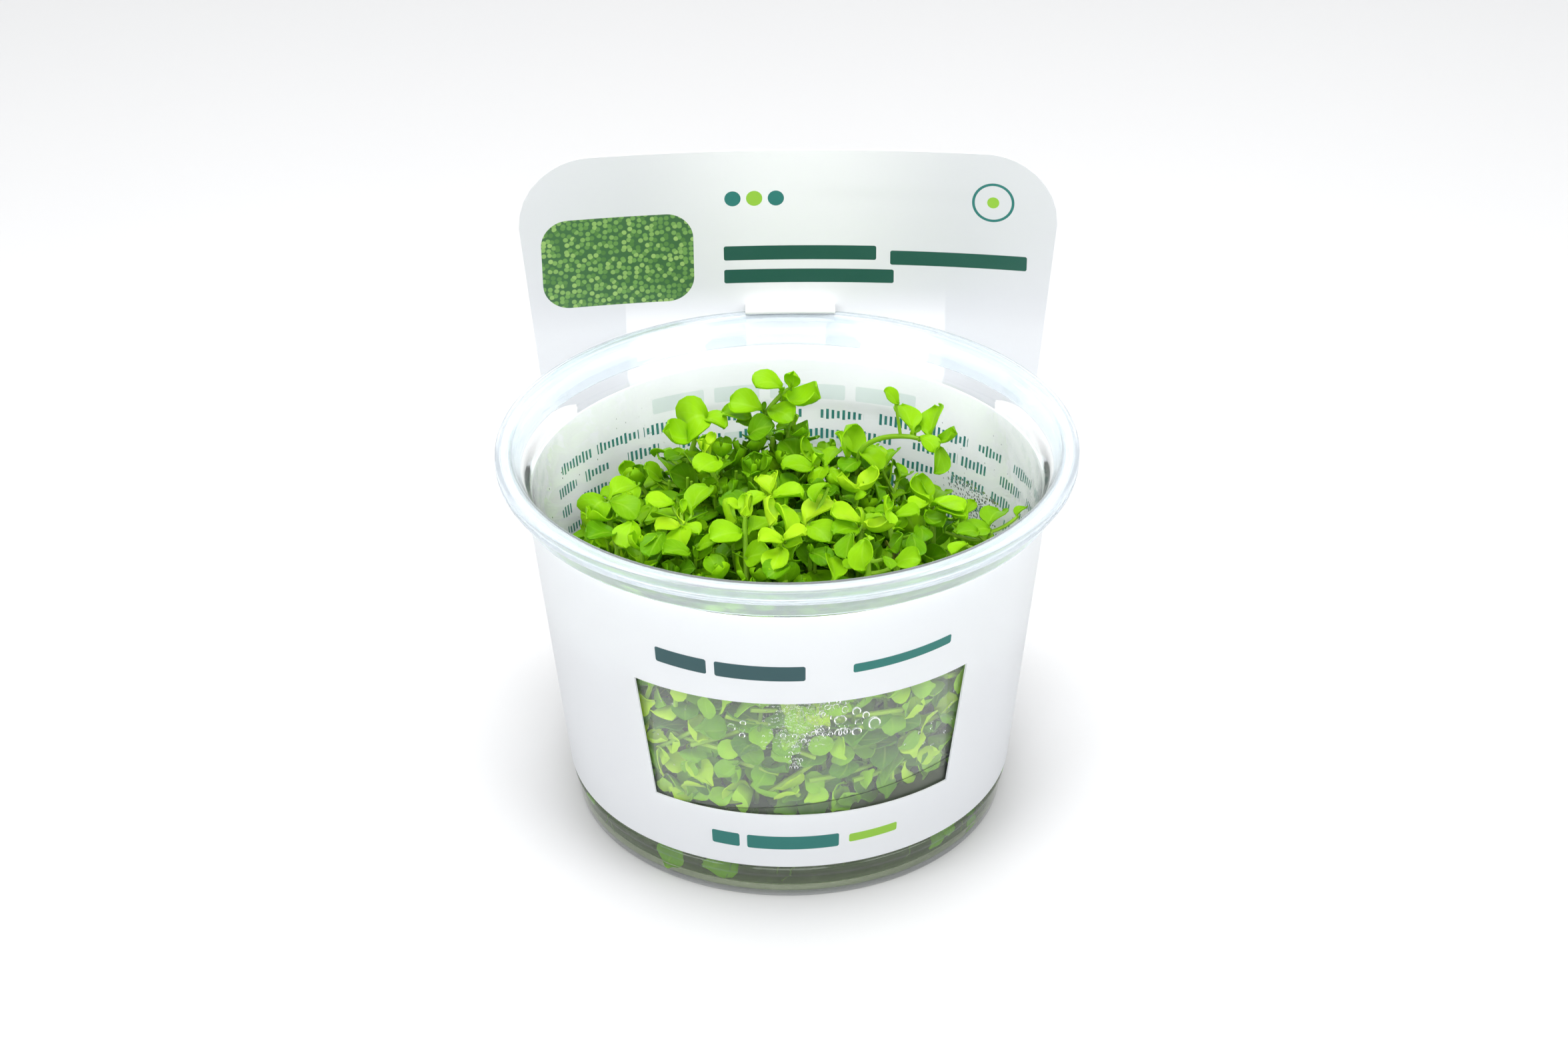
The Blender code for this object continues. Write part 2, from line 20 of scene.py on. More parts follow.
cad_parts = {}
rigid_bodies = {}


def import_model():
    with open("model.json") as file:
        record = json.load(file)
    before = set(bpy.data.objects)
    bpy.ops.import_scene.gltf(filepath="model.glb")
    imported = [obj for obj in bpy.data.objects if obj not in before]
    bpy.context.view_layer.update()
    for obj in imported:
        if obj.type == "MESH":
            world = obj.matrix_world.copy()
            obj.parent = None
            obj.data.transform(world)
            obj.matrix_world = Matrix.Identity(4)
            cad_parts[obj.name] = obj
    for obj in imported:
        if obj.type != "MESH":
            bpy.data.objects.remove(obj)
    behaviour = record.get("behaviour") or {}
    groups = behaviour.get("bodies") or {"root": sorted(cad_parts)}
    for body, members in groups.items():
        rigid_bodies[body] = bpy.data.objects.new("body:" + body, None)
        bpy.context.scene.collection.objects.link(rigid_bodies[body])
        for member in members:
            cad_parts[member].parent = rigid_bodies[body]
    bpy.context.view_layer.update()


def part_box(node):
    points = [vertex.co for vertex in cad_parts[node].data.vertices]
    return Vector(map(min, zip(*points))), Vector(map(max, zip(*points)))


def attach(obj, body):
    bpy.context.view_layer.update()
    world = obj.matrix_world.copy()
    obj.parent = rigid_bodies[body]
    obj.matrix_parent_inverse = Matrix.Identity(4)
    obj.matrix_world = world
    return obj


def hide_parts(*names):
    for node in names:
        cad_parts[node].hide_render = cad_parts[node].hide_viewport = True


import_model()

MM = 0.001
BODY = "root"
SEED = 20240611
INK_EDGE = 0.05
LOG = logging.getLogger("carpet_plant")

Colour = tuple[float, float, float]
Place = tuple[float, float, float]
Bar = tuple[float, float, float, float]
Socket = bpy.types.NodeSocket
Group = bpy.types.NodeTree


# Working at the bench: selection, transforms and modifiers as by hand


def deselect_all() -> None:
    """Leave nothing selected, so that the next operator acts on its own piece alone."""
    for other in bpy.context.view_layer.objects:
        other.select_set(False)
    bpy.context.view_layer.objects.active = None


def take_up(piece: bpy.types.Object) -> None:
    """Select one piece alone and make it the active one.

    Args:
        piece: the piece.
    """
    deselect_all()
    piece.select_set(True)
    bpy.context.view_layer.objects.active = piece


def open_edit(piece: bpy.types.Object) -> None:
    """Take a piece into edit mode with vertex selection.

    Args:
        piece: the piece, in object mode.
    """
    take_up(piece)
    bpy.ops.object.mode_set(mode="EDIT")
    bpy.ops.mesh.select_mode(type="VERT")


def close_edit() -> None:
    """Go back to object mode."""
    bpy.ops.object.mode_set(mode="OBJECT")


def choose(piece: bpy.types.Object, test: Callable[[bmesh.types.BMVert], bool]) -> None:
    """Select the vertices of a piece in edit mode that pass a test of their place or number.

    Args:
        piece: the piece that is open in edit mode.
        test: says of a vertex whether it is selected.
    """
    form = bmesh.from_edit_mesh(piece.data)
    for vert in form.verts:
        vert.select_set(test(vert))
    form.select_flush_mode()
    bmesh.update_edit_mesh(piece.data)


def finish_modifiers(piece: bpy.types.Object) -> None:
    """Apply every modifier on a piece, in order.

    Args:
        piece: the piece, in object mode.
    """
    take_up(piece)
    for modifier in list(piece.modifiers):
        bpy.ops.object.modifier_apply(modifier=modifier.name)


def set_down(piece: bpy.types.Object, name: str, smooth_deg: float = 35.0) -> bpy.types.Object:
    """Name a finished piece, put its place into its mesh and shade it.

    Args:
        piece: the modelled piece.
        name: the piece's name.
        smooth_deg: edges sharper than this stay sharp.

    Returns:
        The same piece.
    """
    piece.name = name
    piece.data.name = name
    take_up(piece)
    bpy.ops.object.transform_apply(location=True, rotation=True, scale=True)
    bpy.ops.object.shade_smooth_by_angle(angle=math.radians(smooth_deg))
    deselect_all()
    return piece


def thicken(piece: bpy.types.Object, thickness: float, inner_slot: int = 0, rim_slot: int = 0) -> None:
    """Give a sheet's middle surface its wall, half to each side.

    Args:
        piece: the sheet.
        thickness: the wall, in the piece's own unit.
        inner_slot: how many material slots further the inner face's material is.
        rim_slot: how many material slots further the edge's material is.
    """
    wall = piece.modifiers.new("wall", "SOLIDIFY")
    wall.thickness = thickness
    wall.offset = 0.0
    wall.use_even_offset = True
    wall.material_offset = inner_slot
    wall.material_offset_rim = rim_slot
    finish_modifiers(piece)


def turned(name: str, profile: Sequence[tuple[float, float]], sides: int) -> bpy.types.Object:
    """Model a round closed piece by pulling a disc through a profile, ring by ring.

    Args:
        name: the piece's name.
        profile: radius and height of each ring in millimetres, from the underside's disc to the last disc.
        sides: how many sides the round has.

    Returns:
        The piece, in edit-free object mode with its place in its mesh.
    """
    deselect_all()
    radius, height = profile[0]
    bpy.ops.mesh.primitive_circle_add(
        vertices=sides, radius=radius * MM, fill_type="NGON", location=(0.0, 0.0, height * MM)
    )
    piece = bpy.context.active_object
    open_edit(piece)
    bpy.ops.mesh.select_all(action="SELECT")
    for next_radius, next_height in profile[1:]:
        bpy.ops.mesh.extrude_region_move(
            TRANSFORM_OT_translate={"value": (0.0, 0.0, (next_height - height) * MM)}
        )
        share = next_radius / radius
        bpy.ops.transform.resize(value=(share, share, 1.0), center_override=(0.0, 0.0, next_height * MM))
        radius, height = next_radius, next_height
    bpy.ops.mesh.select_all(action="SELECT")
    bpy.ops.mesh.normals_make_consistent(inside=False)
    close_edit()
    return set_down(piece, name)


def rounded(corners: Sequence[tuple[float, float, float]], steps: int = 4) -> list[tuple[float, float]]:
    """Round the corners of a profile.

    Args:
        corners: radius, height and rounding radius of each corner, in millimetres.
        steps: how many points an arc gets.

    Returns:
        The profile's points, with each rounded corner made an arc.
    """
    points = []
    for index, (x, z, rounding) in enumerate(corners):
        if rounding <= 0.0 or index in (0, len(corners) - 1):
            points.append((x, z))
            continue
        here = np.array((x, z))
        before = np.array(corners[index - 1][:2]) - here
        after = np.array(corners[index + 1][:2]) - here
        reach = min(rounding, 0.48 * np.linalg.norm(before), 0.48 * np.linalg.norm(after))
        start = here + before / np.linalg.norm(before) * reach
        end = here + after / np.linalg.norm(after) * reach
        for step in range(steps + 1):
            t = step / steps
            bow = (1 - t) ** 2 * start + 2 * t * (1 - t) * here + t * t * end
            points.append((float(bow[0]), float(bow[1])))
    return points


# Shapes that are modelled once and copied into joined meshes


@dataclass
class Shape:
    """A modelled shape as arrays: points, faces' corners, where each face starts, and its flat map."""

    points: np.ndarray
    corners: np.ndarray
    starts: np.ndarray
    totals: np.ndarray
    flat: np.ndarray

    @staticmethod
    def taken_from(piece: bpy.types.Object) -> "Shape":
        """Read a modelled piece and put the piece away.

        Args:
            piece: the piece, finished and in object mode.

        Returns:
            Its shape.
        """
        mesh = piece.data
        points = np.empty(len(mesh.vertices) * 3)
        mesh.vertices.foreach_get("co", points)
        corners = np.empty(len(mesh.loops), int)
        mesh.loops.foreach_get("vertex_index", corners)
        starts = np.empty(len(mesh.polygons), int)
        mesh.polygons.foreach_get("loop_start", starts)
        totals = np.empty(len(mesh.polygons), int)
        mesh.polygons.foreach_get("loop_total", totals)
        flat = np.zeros(len(mesh.loops) * 2)
        if mesh.uv_layers:
            mesh.uv_layers[0].data.foreach_get("uv", flat)
        bpy.data.objects.remove(piece, do_unlink=True)
        return Shape(points.reshape(-1, 3), corners, starts, totals, flat.reshape(-1, 2))


@dataclass
class Heap:
    """Copies of shapes gathered into one mesh, each copy with its own points and its own tone."""

    points: list[np.ndarray] = field(default_factory=list)
    corners: list[np.ndarray] = field(default_factory=list)
    starts: list[np.ndarray] = field(default_factory=list)
    totals: list[np.ndarray] = field(default_factory=list)
    flats: list[np.ndarray] = field(default_factory=list)
    tones: list[np.ndarray] = field(default_factory=list)
    slots: list[np.ndarray] = field(default_factory=list)
    point_count: int = 0
    corner_count: int = 0

    def add(self, shape: Shape, points: np.ndarray, tone: float, slot: int = 0) -> None:
        """Add one copy.

        Args:
            shape: the shape that is copied.
            points: where the copy's points are, in millimetres.
            tone: the copy's tone, kept on its points: its age, and for many leaves also painted light and
                shade.
            slot: which of the piece's finishes it has.
        """
        self.slots.append(np.full(len(shape.starts), slot))
        self.points.append(points * MM)
        self.corners.append(shape.corners + self.point_count)
        self.starts.append(shape.starts + self.corner_count)
        self.totals.append(shape.totals)
        self.flats.append(shape.flat)
        self.tones.append(np.full(len(points), tone))
        self.point_count += len(points)
        self.corner_count += len(shape.corners)

    def piece(self, name: str, *finishes: bpy.types.Material) -> bpy.types.Object:
        """Make the gathered copies one object.

        Args:
            name: the piece's name.
            finishes: its materials, by slot.

        Returns:
            The joined piece, smooth shaded.
        """
        mesh = bpy.data.meshes.new(name)
        mesh.vertices.add(self.point_count)
        mesh.vertices.foreach_set("co", np.concatenate(self.points).ravel())
        mesh.loops.add(self.corner_count)
        mesh.loops.foreach_set("vertex_index", np.concatenate(self.corners))
        starts = np.concatenate(self.starts)
        mesh.polygons.add(len(starts))
        mesh.polygons.foreach_set("loop_start", starts)
        mesh.polygons.foreach_set("loop_total", np.concatenate(self.totals))
        for finish in finishes:
            mesh.materials.append(finish)
        mesh.polygons.foreach_set("material_index", np.concatenate(self.slots).astype(np.int32))
        mesh.uv_layers.new(name="blade").data.foreach_set("uv", np.concatenate(self.flats).ravel())
        tone = mesh.attributes.new("tone", "FLOAT", "POINT")
        tone.data.foreach_set("value", np.concatenate(self.tones).astype(np.float32))
        mesh.update(calc_edges=True)
        mesh.validate()
        made = bpy.data.objects.new(name, mesh)
        bpy.context.scene.collection.objects.link(made)
        take_up(made)
        bpy.ops.object.shade_smooth_by_angle(angle=math.radians(50.0))
        deselect_all()
        return made


def seat_on(piece: bpy.types.Object, *nodes: str, slot: str = "") -> bpy.types.Object:
    """Let a finished piece ride on the cup's body and stand for the solids it dresses.

    Args:
        piece: the finished piece.
        nodes: the solids that it stands for.
        slot: the record's material slot; not used.

    Returns:
        The same piece.
    """
    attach(piece, BODY)
    if nodes:
        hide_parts(*nodes)
    faces = len(piece.data.polygons)
    LOG.info("%s: %d faces", piece.name, faces)
    return piece


# Node desk: short ways to lay out a material's nodes


class NodeDesk:
    """A node tree with short ways to add nodes to it."""

    def __init__(self, tree: bpy.types.NodeTree) -> None:
        """Keep the tree that nodes are added to."""
        self.tree = tree

    def put(self, socket: Socket, value: object) -> None:
        """Feed a socket from another socket, or set it to a plain value.

        Args:
            socket: the input that is fed.
            value: another node's output, a colour or a plain value.
        """
        if isinstance(value, bpy.types.NodeSocket):
            self.tree.links.new(value, socket)
        elif isinstance(value, tuple) and len(value) == 3 and socket.type == "RGBA":
            socket.default_value = (*value, 1.0)
        else:
            socket.default_value = value

    def add(self, kind: str, inputs: dict | None = None, **settings: object) -> bpy.types.Node:
        """Add a node.

        Args:
            kind: the node's type, without its ShaderNode prefix.
            inputs: a value or socket for each input, by name or number.
            settings: the node's own settings.

        Returns:
            The node.
        """
        node = self.tree.nodes.new("ShaderNode" + kind)
        for name, value in settings.items():
            setattr(node, name, value)
        for name, value in (inputs or {}).items():
            self.put(node.inputs[name], value)
        return node

    def math(
        self, operation: str, a: object, b: object = 0.0, c: object = 0.0, clamp: bool = False
    ) -> Socket:
        """A Math node's result."""
        node = self.add("Math", {0: a, 1: b, 2: c}, operation=operation, use_clamp=clamp)
        return node.outputs[0]

    def vector(self, operation: str, a: object, b: object = (0.0, 0.0, 0.0)) -> Socket:
        """A Vector Math node's vector result."""
        return self.add("VectorMath", {0: a, 1: b}, operation=operation).outputs["Vector"]

    def length(self, a: object) -> Socket:
        """A vector's length."""
        return self.add("VectorMath", {0: a}, operation="LENGTH").outputs["Value"]

    def parts(self, a: object) -> tuple[Socket, Socket, Socket]:
        """A vector's three parts."""
        out = self.add("SeparateXYZ", {0: a}).outputs
        return out[0], out[1], out[2]

    def joined(self, x: object, y: object, z: object = 0.0) -> Socket:
        """A vector from its parts."""
        return self.add("CombineXYZ", {0: x, 1: y, 2: z}).outputs[0]

    def blend(self, share: object, a: object, b: object) -> Socket:
        """A colour between two colours.

        Args:
            share: the second colour's share.
            a: the first colour.
            b: the second colour.

        Returns:
            The mixed colour.
        """
        node = self.add("Mix", data_type="RGBA")
        self.put(node.inputs[0], share)
        self.put(node.inputs[6], a)
        self.put(node.inputs[7], b)
        return node.outputs[2]

    def stretch(
        self, value: object, low: float, high: float, to_low: float = 0.0, to_high: float = 1.0
    ) -> Socket:
        """A value eased from one range to another, and held at its ends.

        Args:
            value: the value.
            low: where its range starts.
            high: where its range ends.
            to_low: what the start becomes.
            to_high: what the end becomes.

        Returns:
            The eased value.
        """
        node = self.add(
            "MapRange",
            {"Value": value, "From Min": low, "From Max": high, "To Min": to_low, "To Max": to_high},
            interpolation_type="SMOOTHSTEP",
        )
        return node.outputs[0]

    def noise(self, place: object, scale: float, detail: float = 2.0, rough: float = 0.5) -> Socket:
        """Noise from 0 to 1."""
        inputs = {"Vector": place, "Scale": scale, "Detail": detail, "Roughness": rough}
        return self.add("TexNoise", inputs).outputs[0]

    def ramp(self, share: object, stops: Sequence[tuple[float, Colour]]) -> Socket:
        """A colour from a ramp of stops.

        Args:
            share: the place on the ramp, from 0 to 1.
            stops: the ramp's places and their colours.

        Returns:
            The colour.
        """
        node = self.add("ValToRGB", {0: share})
        marks = node.color_ramp.elements
        while len(marks) < len(stops):
            marks.new(0.5)
        for mark, (position, colour) in zip(marks, stops):
            mark.position = position
            mark.color = (*colour, 1.0)
        return node.outputs[0]

    def bump(self, height: object, strength: float, distance_mm: float) -> Socket:
        """A normal from a height."""
        inputs = {"Height": height, "Strength": strength, "Distance": distance_mm * MM}
        return self.add("Bump", inputs).outputs[0]

    def object_place(self) -> Socket:
        """The piece's own coordinates, in metres."""
        return self.add("TexCoord").outputs["Object"]

    def millimetres(self) -> Socket:
        """The piece's own coordinates, in millimetres."""
        node = self.add("VectorMath", {0: self.object_place(), "Scale": 1000.0}, operation="SCALE")
        return node.outputs["Vector"]

    def group(self, tree: Group, inputs: dict) -> bpy.types.Node:
        """Place a node group with its own values.

        Args:
            tree: the group.
            inputs: a value or socket for each of its inputs, by name.

        Returns:
            The group's node.
        """
        node = self.tree.nodes.new("ShaderNodeGroup")
        node.node_tree = tree
        for name, value in inputs.items():
            self.put(node.inputs[name], value)
        return node

    def show_mix(self, share: object, shader: bpy.types.Node, other: bpy.types.Node) -> None:
        """Make a mix of two shaders the material's surface.

        Args:
            share: the second shader's share.
            shader: the first shader.
            other: the second shader.
        """
        mix = self.add("MixShader", {0: share})
        self.put(mix.inputs[1], shader.outputs[0])
        self.put(mix.inputs[2], other.outputs[0])
        self.put(self.tree.nodes["Material Output"].inputs["Surface"], mix.outputs[0])

    def let_shadows_pass(self, shader: bpy.types.Node, tint: Colour) -> None:
        """Make a clear shader the surface, with a shadow that only tints the light."""
        path = self.add("LightPath")
        self.show_mix(path.outputs["Is Shadow Ray"], shader, self.add("BsdfTransparent", {0: tint}))


def new_finish(name: str) -> tuple[bpy.types.Material, NodeDesk, bpy.types.Node]:
    """Start a material.

    Args:
        name: the finish's name.

    Returns:
        The material, its node desk and its Principled node.
    """
    made = bpy.data.materials.new(name)
    made.use_nodes = True
    desk = NodeDesk(made.node_tree)
    return made, desk, made.node_tree.nodes["Principled BSDF"]


def new_group(name: str, inputs: Sequence[tuple[str, str]], outputs: Sequence[tuple[str, str]]) -> tuple:
    """Start a shader node group.

    Args:
        name: the group's name.
        inputs: name and kind of each input.
        outputs: name and kind of each output.

    Returns:
        The group's tree, its node desk, its inputs by name and its output node.
    """
    tree = bpy.data.node_groups.new(name, "ShaderNodeTree")
    for side, sockets in (("INPUT", inputs), ("OUTPUT", outputs)):
        for label, kind in sockets:
            tree.interface.new_socket(label, in_out=side, socket_type="NodeSocket" + kind)
    desk = NodeDesk(tree)
    entry = tree.nodes.new("NodeGroupInput")
    leave = tree.nodes.new("NodeGroupOutput")
    return tree, desk, entry.outputs, leave


def make_bar_group() -> Group:
    """A printed bar with round ends or corners, filled or as a line, anywhere on a flat sheet.

    Returns:
        The group.
    """
    tree, desk, given, leave = new_group(
        "printed bar",
        (
            ("Place", "Vector"),
            ("Centre", "Vector"),
            ("Half Size", "Vector"),
            ("Corner", "Float"),
            ("Line", "Float"),
        ),
        (("Filled", "Float"), ("Outline", "Float")),
    )
    off = desk.vector("ABSOLUTE", desk.vector("SUBTRACT", given["Place"], given["Centre"]))
    corner = desk.joined(given["Corner"], given["Corner"])
    past = desk.vector("SUBTRACT", off, desk.vector("SUBTRACT", given["Half Size"], corner))
    past_x, past_y, _ = desk.parts(past)
    outside = desk.length(desk.joined(desk.math("MAXIMUM", past_x, 0.0), desk.math("MAXIMUM", past_y, 0.0)))
    inside = desk.math("MINIMUM", desk.math("MAXIMUM", past_x, past_y), 0.0)
    distance = desk.math("SUBTRACT", desk.math("ADD", outside, inside), given["Corner"])
    desk.put(leave.inputs["Filled"], desk.stretch(distance, -INK_EDGE, INK_EDGE, 1.0, 0.0))
    line = desk.math("SUBTRACT", desk.math("ABSOLUTE", distance), desk.math("MULTIPLY", given["Line"], 0.5))
    desk.put(leave.inputs["Outline"], desk.stretch(line, -INK_EDGE, INK_EDGE, 1.0, 0.0))
    return tree


def make_strokes_group() -> Group:
    """Rows of short upright printed strokes, in runs, within a rectangle of a flat sheet.

    Returns:
        The group.
    """
    tree, desk, given, leave = new_group(
        "stroke rows",
        (
            ("Place", "Vector"),
            ("Left", "Float"),
            ("Right", "Float"),
            ("Bottom", "Float"),
            ("Top", "Float"),
            ("Row Pitch", "Float"),
            ("Stroke Half Height", "Float"),
            ("Word Pitch", "Float"),
        ),
        (("Mask", "Float"),),
    )

    def between(value: Socket, low: object, top: object) -> Socket:
        """One where a value is between two others."""
        above = desk.math("GREATER_THAN", value, low)
        return desk.math("MULTIPLY", above, desk.math("LESS_THAN", value, top))

    x, y, _ = desk.parts(given["Place"])
    row = desk.math("DIVIDE", desk.math("SUBTRACT", y, given["Bottom"]), given["Row Pitch"])
    number = desk.math("FLOOR", row)
    off_middle = desk.math("ABSOLUTE", desk.math("SUBTRACT", desk.math("FRACT", row), 0.5))
    off_middle = desk.math("MULTIPLY", off_middle, given["Row Pitch"])
    shift = desk.add("TexWhiteNoise", {"W": number}, noise_dimensions="1D").outputs["Value"]
    run = desk.math("ADD", desk.math("DIVIDE", x, given["Word Pitch"]), desk.math("MULTIPLY", shift, 7.0))
    run_at = desk.joined(desk.math("FLOOR", run), number)
    size = desk.add("TexWhiteNoise", {"Vector": run_at}, noise_dimensions="2D").outputs["Value"]
    in_run = desk.math("LESS_THAN", desk.math("FRACT", run), desk.math("MULTIPLY_ADD", size, 0.34, 0.58))
    high = given["Stroke Half Height"]
    stroke = desk.math("DIVIDE", x, desk.math("MULTIPLY", high, 0.9))
    stroke_at = desk.joined(desk.math("FLOOR", stroke), number, 3.0)
    share = desk.add("TexWhiteNoise", {"Vector": stroke_at}, noise_dimensions="3D").outputs["Value"]
    reach = desk.math("MULTIPLY", high, desk.math("MULTIPLY_ADD", share, 0.45, 0.55))
    off_stroke = desk.math("ABSOLUTE", desk.math("SUBTRACT", desk.math("FRACT", stroke), 0.5))
    drawn = desk.math("LESS_THAN", off_stroke, 0.25)
    drawn = desk.math("MULTIPLY", drawn, desk.math("LESS_THAN", off_middle, reach))
    drawn = desk.math("MULTIPLY", in_run, drawn)
    mask = desk.math("MULTIPLY", drawn, between(x, given["Left"], given["Right"]))
    desk.put(leave.inputs["Mask"], desk.math("MULTIPLY", mask, between(y, given["Bottom"], given["Top"])))
    return tree


def make_unevenness_group() -> Group:
    """The slight unevenness of moulded and rolled surfaces: a height and a value for roughness.

    Returns:
        The group.
    """
    tree, desk, given, leave = new_group(
        "slight unevenness",
        (("Place", "Vector"), ("Scale", "Float")),
        (("Height", "Float"), ("Wear", "Float")),
    )
    scaling = desk.add("VectorMath", {0: given["Place"], "Scale": given["Scale"]}, operation="SCALE")
    scaled = scaling.outputs["Vector"]
    broad = desk.noise(scaled, 1.0, 3.0)
    fine = desk.noise(scaled, 9.0, 2.0, 0.6)
    height = desk.math("ADD", desk.math("MULTIPLY", broad, 0.8), desk.math("MULTIPLY", fine, 0.2))
    desk.put(leave.inputs["Height"], height)
    desk.put(leave.inputs["Wear"], desk.stretch(desk.math("MULTIPLY", broad, fine), 0.15, 0.4))
    return tree


# Finishes


@dataclass(frozen=True)
class ClearPlastic:
    """Moulded clear plastic that lets the lamps through."""

    name: str = "clear moulded plastic"
    tint: Colour = (0.985, 0.99, 0.995)
    shadow_tint: Colour = (0.98, 0.985, 0.985)
    clearness: float = 1.0
    roughness: float = 0.004
    bump: float = 0.03
    ior: float = 1.49

    def material(self, unevenness: bpy.types.NodeTree) -> bpy.types.Material:
        """Make the material.

        Args:
            unevenness: the group for moulded surfaces.

        Returns:
            The material.
        """
        made, desk, shader = new_finish(self.name)
        surface = desk.group(unevenness, {"Place": desk.object_place(), "Scale": 160.0})
        desk.put(shader.inputs["Base Color"], self.tint)
        desk.put(shader.inputs["Transmission Weight"], self.clearness)
        desk.put(shader.inputs["IOR"], self.ior)
        rough = desk.math("ADD", self.roughness, desk.math("MULTIPLY", surface.outputs["Wear"], 0.01))
        desk.put(shader.inputs["Roughness"], rough)
        desk.put(shader.inputs["Normal"], desk.bump(surface.outputs["Height"], self.bump, 0.12))
        desk.let_shadows_pass(shader, self.shadow_tint)
        return made


@dataclass(frozen=True)
class WateryGel:
    """Clear nutrient gel, greyish green through its depth."""

    ior: float = 1.34
    roughness: float = 0.06
    absorbing: Colour = (0.46, 0.62, 0.24)
    density: float = 340.0

    def material(self, unevenness: bpy.types.NodeTree) -> bpy.types.Material:
        """Make the material.

        Args:
            unevenness: the group for slight unevenness.

        Returns:
            The material.
        """
        made, desk, shader = new_finish("nutrient gel")
        surface = desk.group(unevenness, {"Place": desk.object_place(), "Scale": 240.0})
        desk.put(shader.inputs["Base Color"], (0.87, 0.93, 0.72))
        desk.put(shader.inputs["Transmission Weight"], 1.0)
        desk.put(shader.inputs["IOR"], self.ior)
        desk.put(shader.inputs["Roughness"], self.roughness)
        desk.put(shader.inputs["Normal"], desk.bump(surface.outputs["Height"], 0.2, 0.3))
        desk.let_shadows_pass(shader, (0.75, 0.79, 0.70))
        depth = desk.add("VolumeAbsorption", {"Color": self.absorbing, "Density": self.density})
        desk.put(made.node_tree.nodes["Material Output"].inputs["Volume"], depth.outputs[0])
        return made


@dataclass(frozen=True)
class WaterDrop:
    """Condensed water on the cup's wall."""

    ior: float = 1.333

    def material(self) -> bpy.types.Material:
        """Make the material.

        Returns:
            The material.
        """
        made, desk, shader = new_finish("condensed water")
        desk.put(shader.inputs["Base Color"], (1.0, 1.0, 1.0))
        desk.put(shader.inputs["Transmission Weight"], 1.0)
        desk.put(shader.inputs["IOR"], self.ior)
        ripple = desk.noise(desk.object_place(), 900.0, 1.0)
        desk.put(shader.inputs["Roughness"], desk.math("MULTIPLY", ripple, 0.03))
        desk.let_shadows_pass(shader, (1.0, 1.0, 1.0))
        return made


@dataclass(frozen=True)
class PaintedReflectionVeil:
    """A faint whitish veil on the cup's wall: painted reflection, standing for the lamps' reflection on the
    wall behind the window.
    """

    cover: float = 0.036

    def material(self) -> bpy.types.Material:
        """Make the material.

        Returns:
            The material.
        """
        made, desk, shader = new_finish("painted reflection veil")
        cloud = desk.noise(desk.object_place(), 120.0, 3.0)
        desk.put(shader.inputs["Base Color"], desk.blend(cloud, (0.86, 0.96, 0.82), (0.92, 1.0, 0.88)))
        desk.put(shader.inputs["Roughness"], 0.6)
        # painted reflection: a faint white cover that stands for the lamps' reflection on the wall
        cover = desk.math("MULTIPLY", desk.stretch(cloud, 0.2, 0.8, 0.8, 1.15), self.cover)
        desk.put(shader.inputs["Alpha"], cover)
        return made


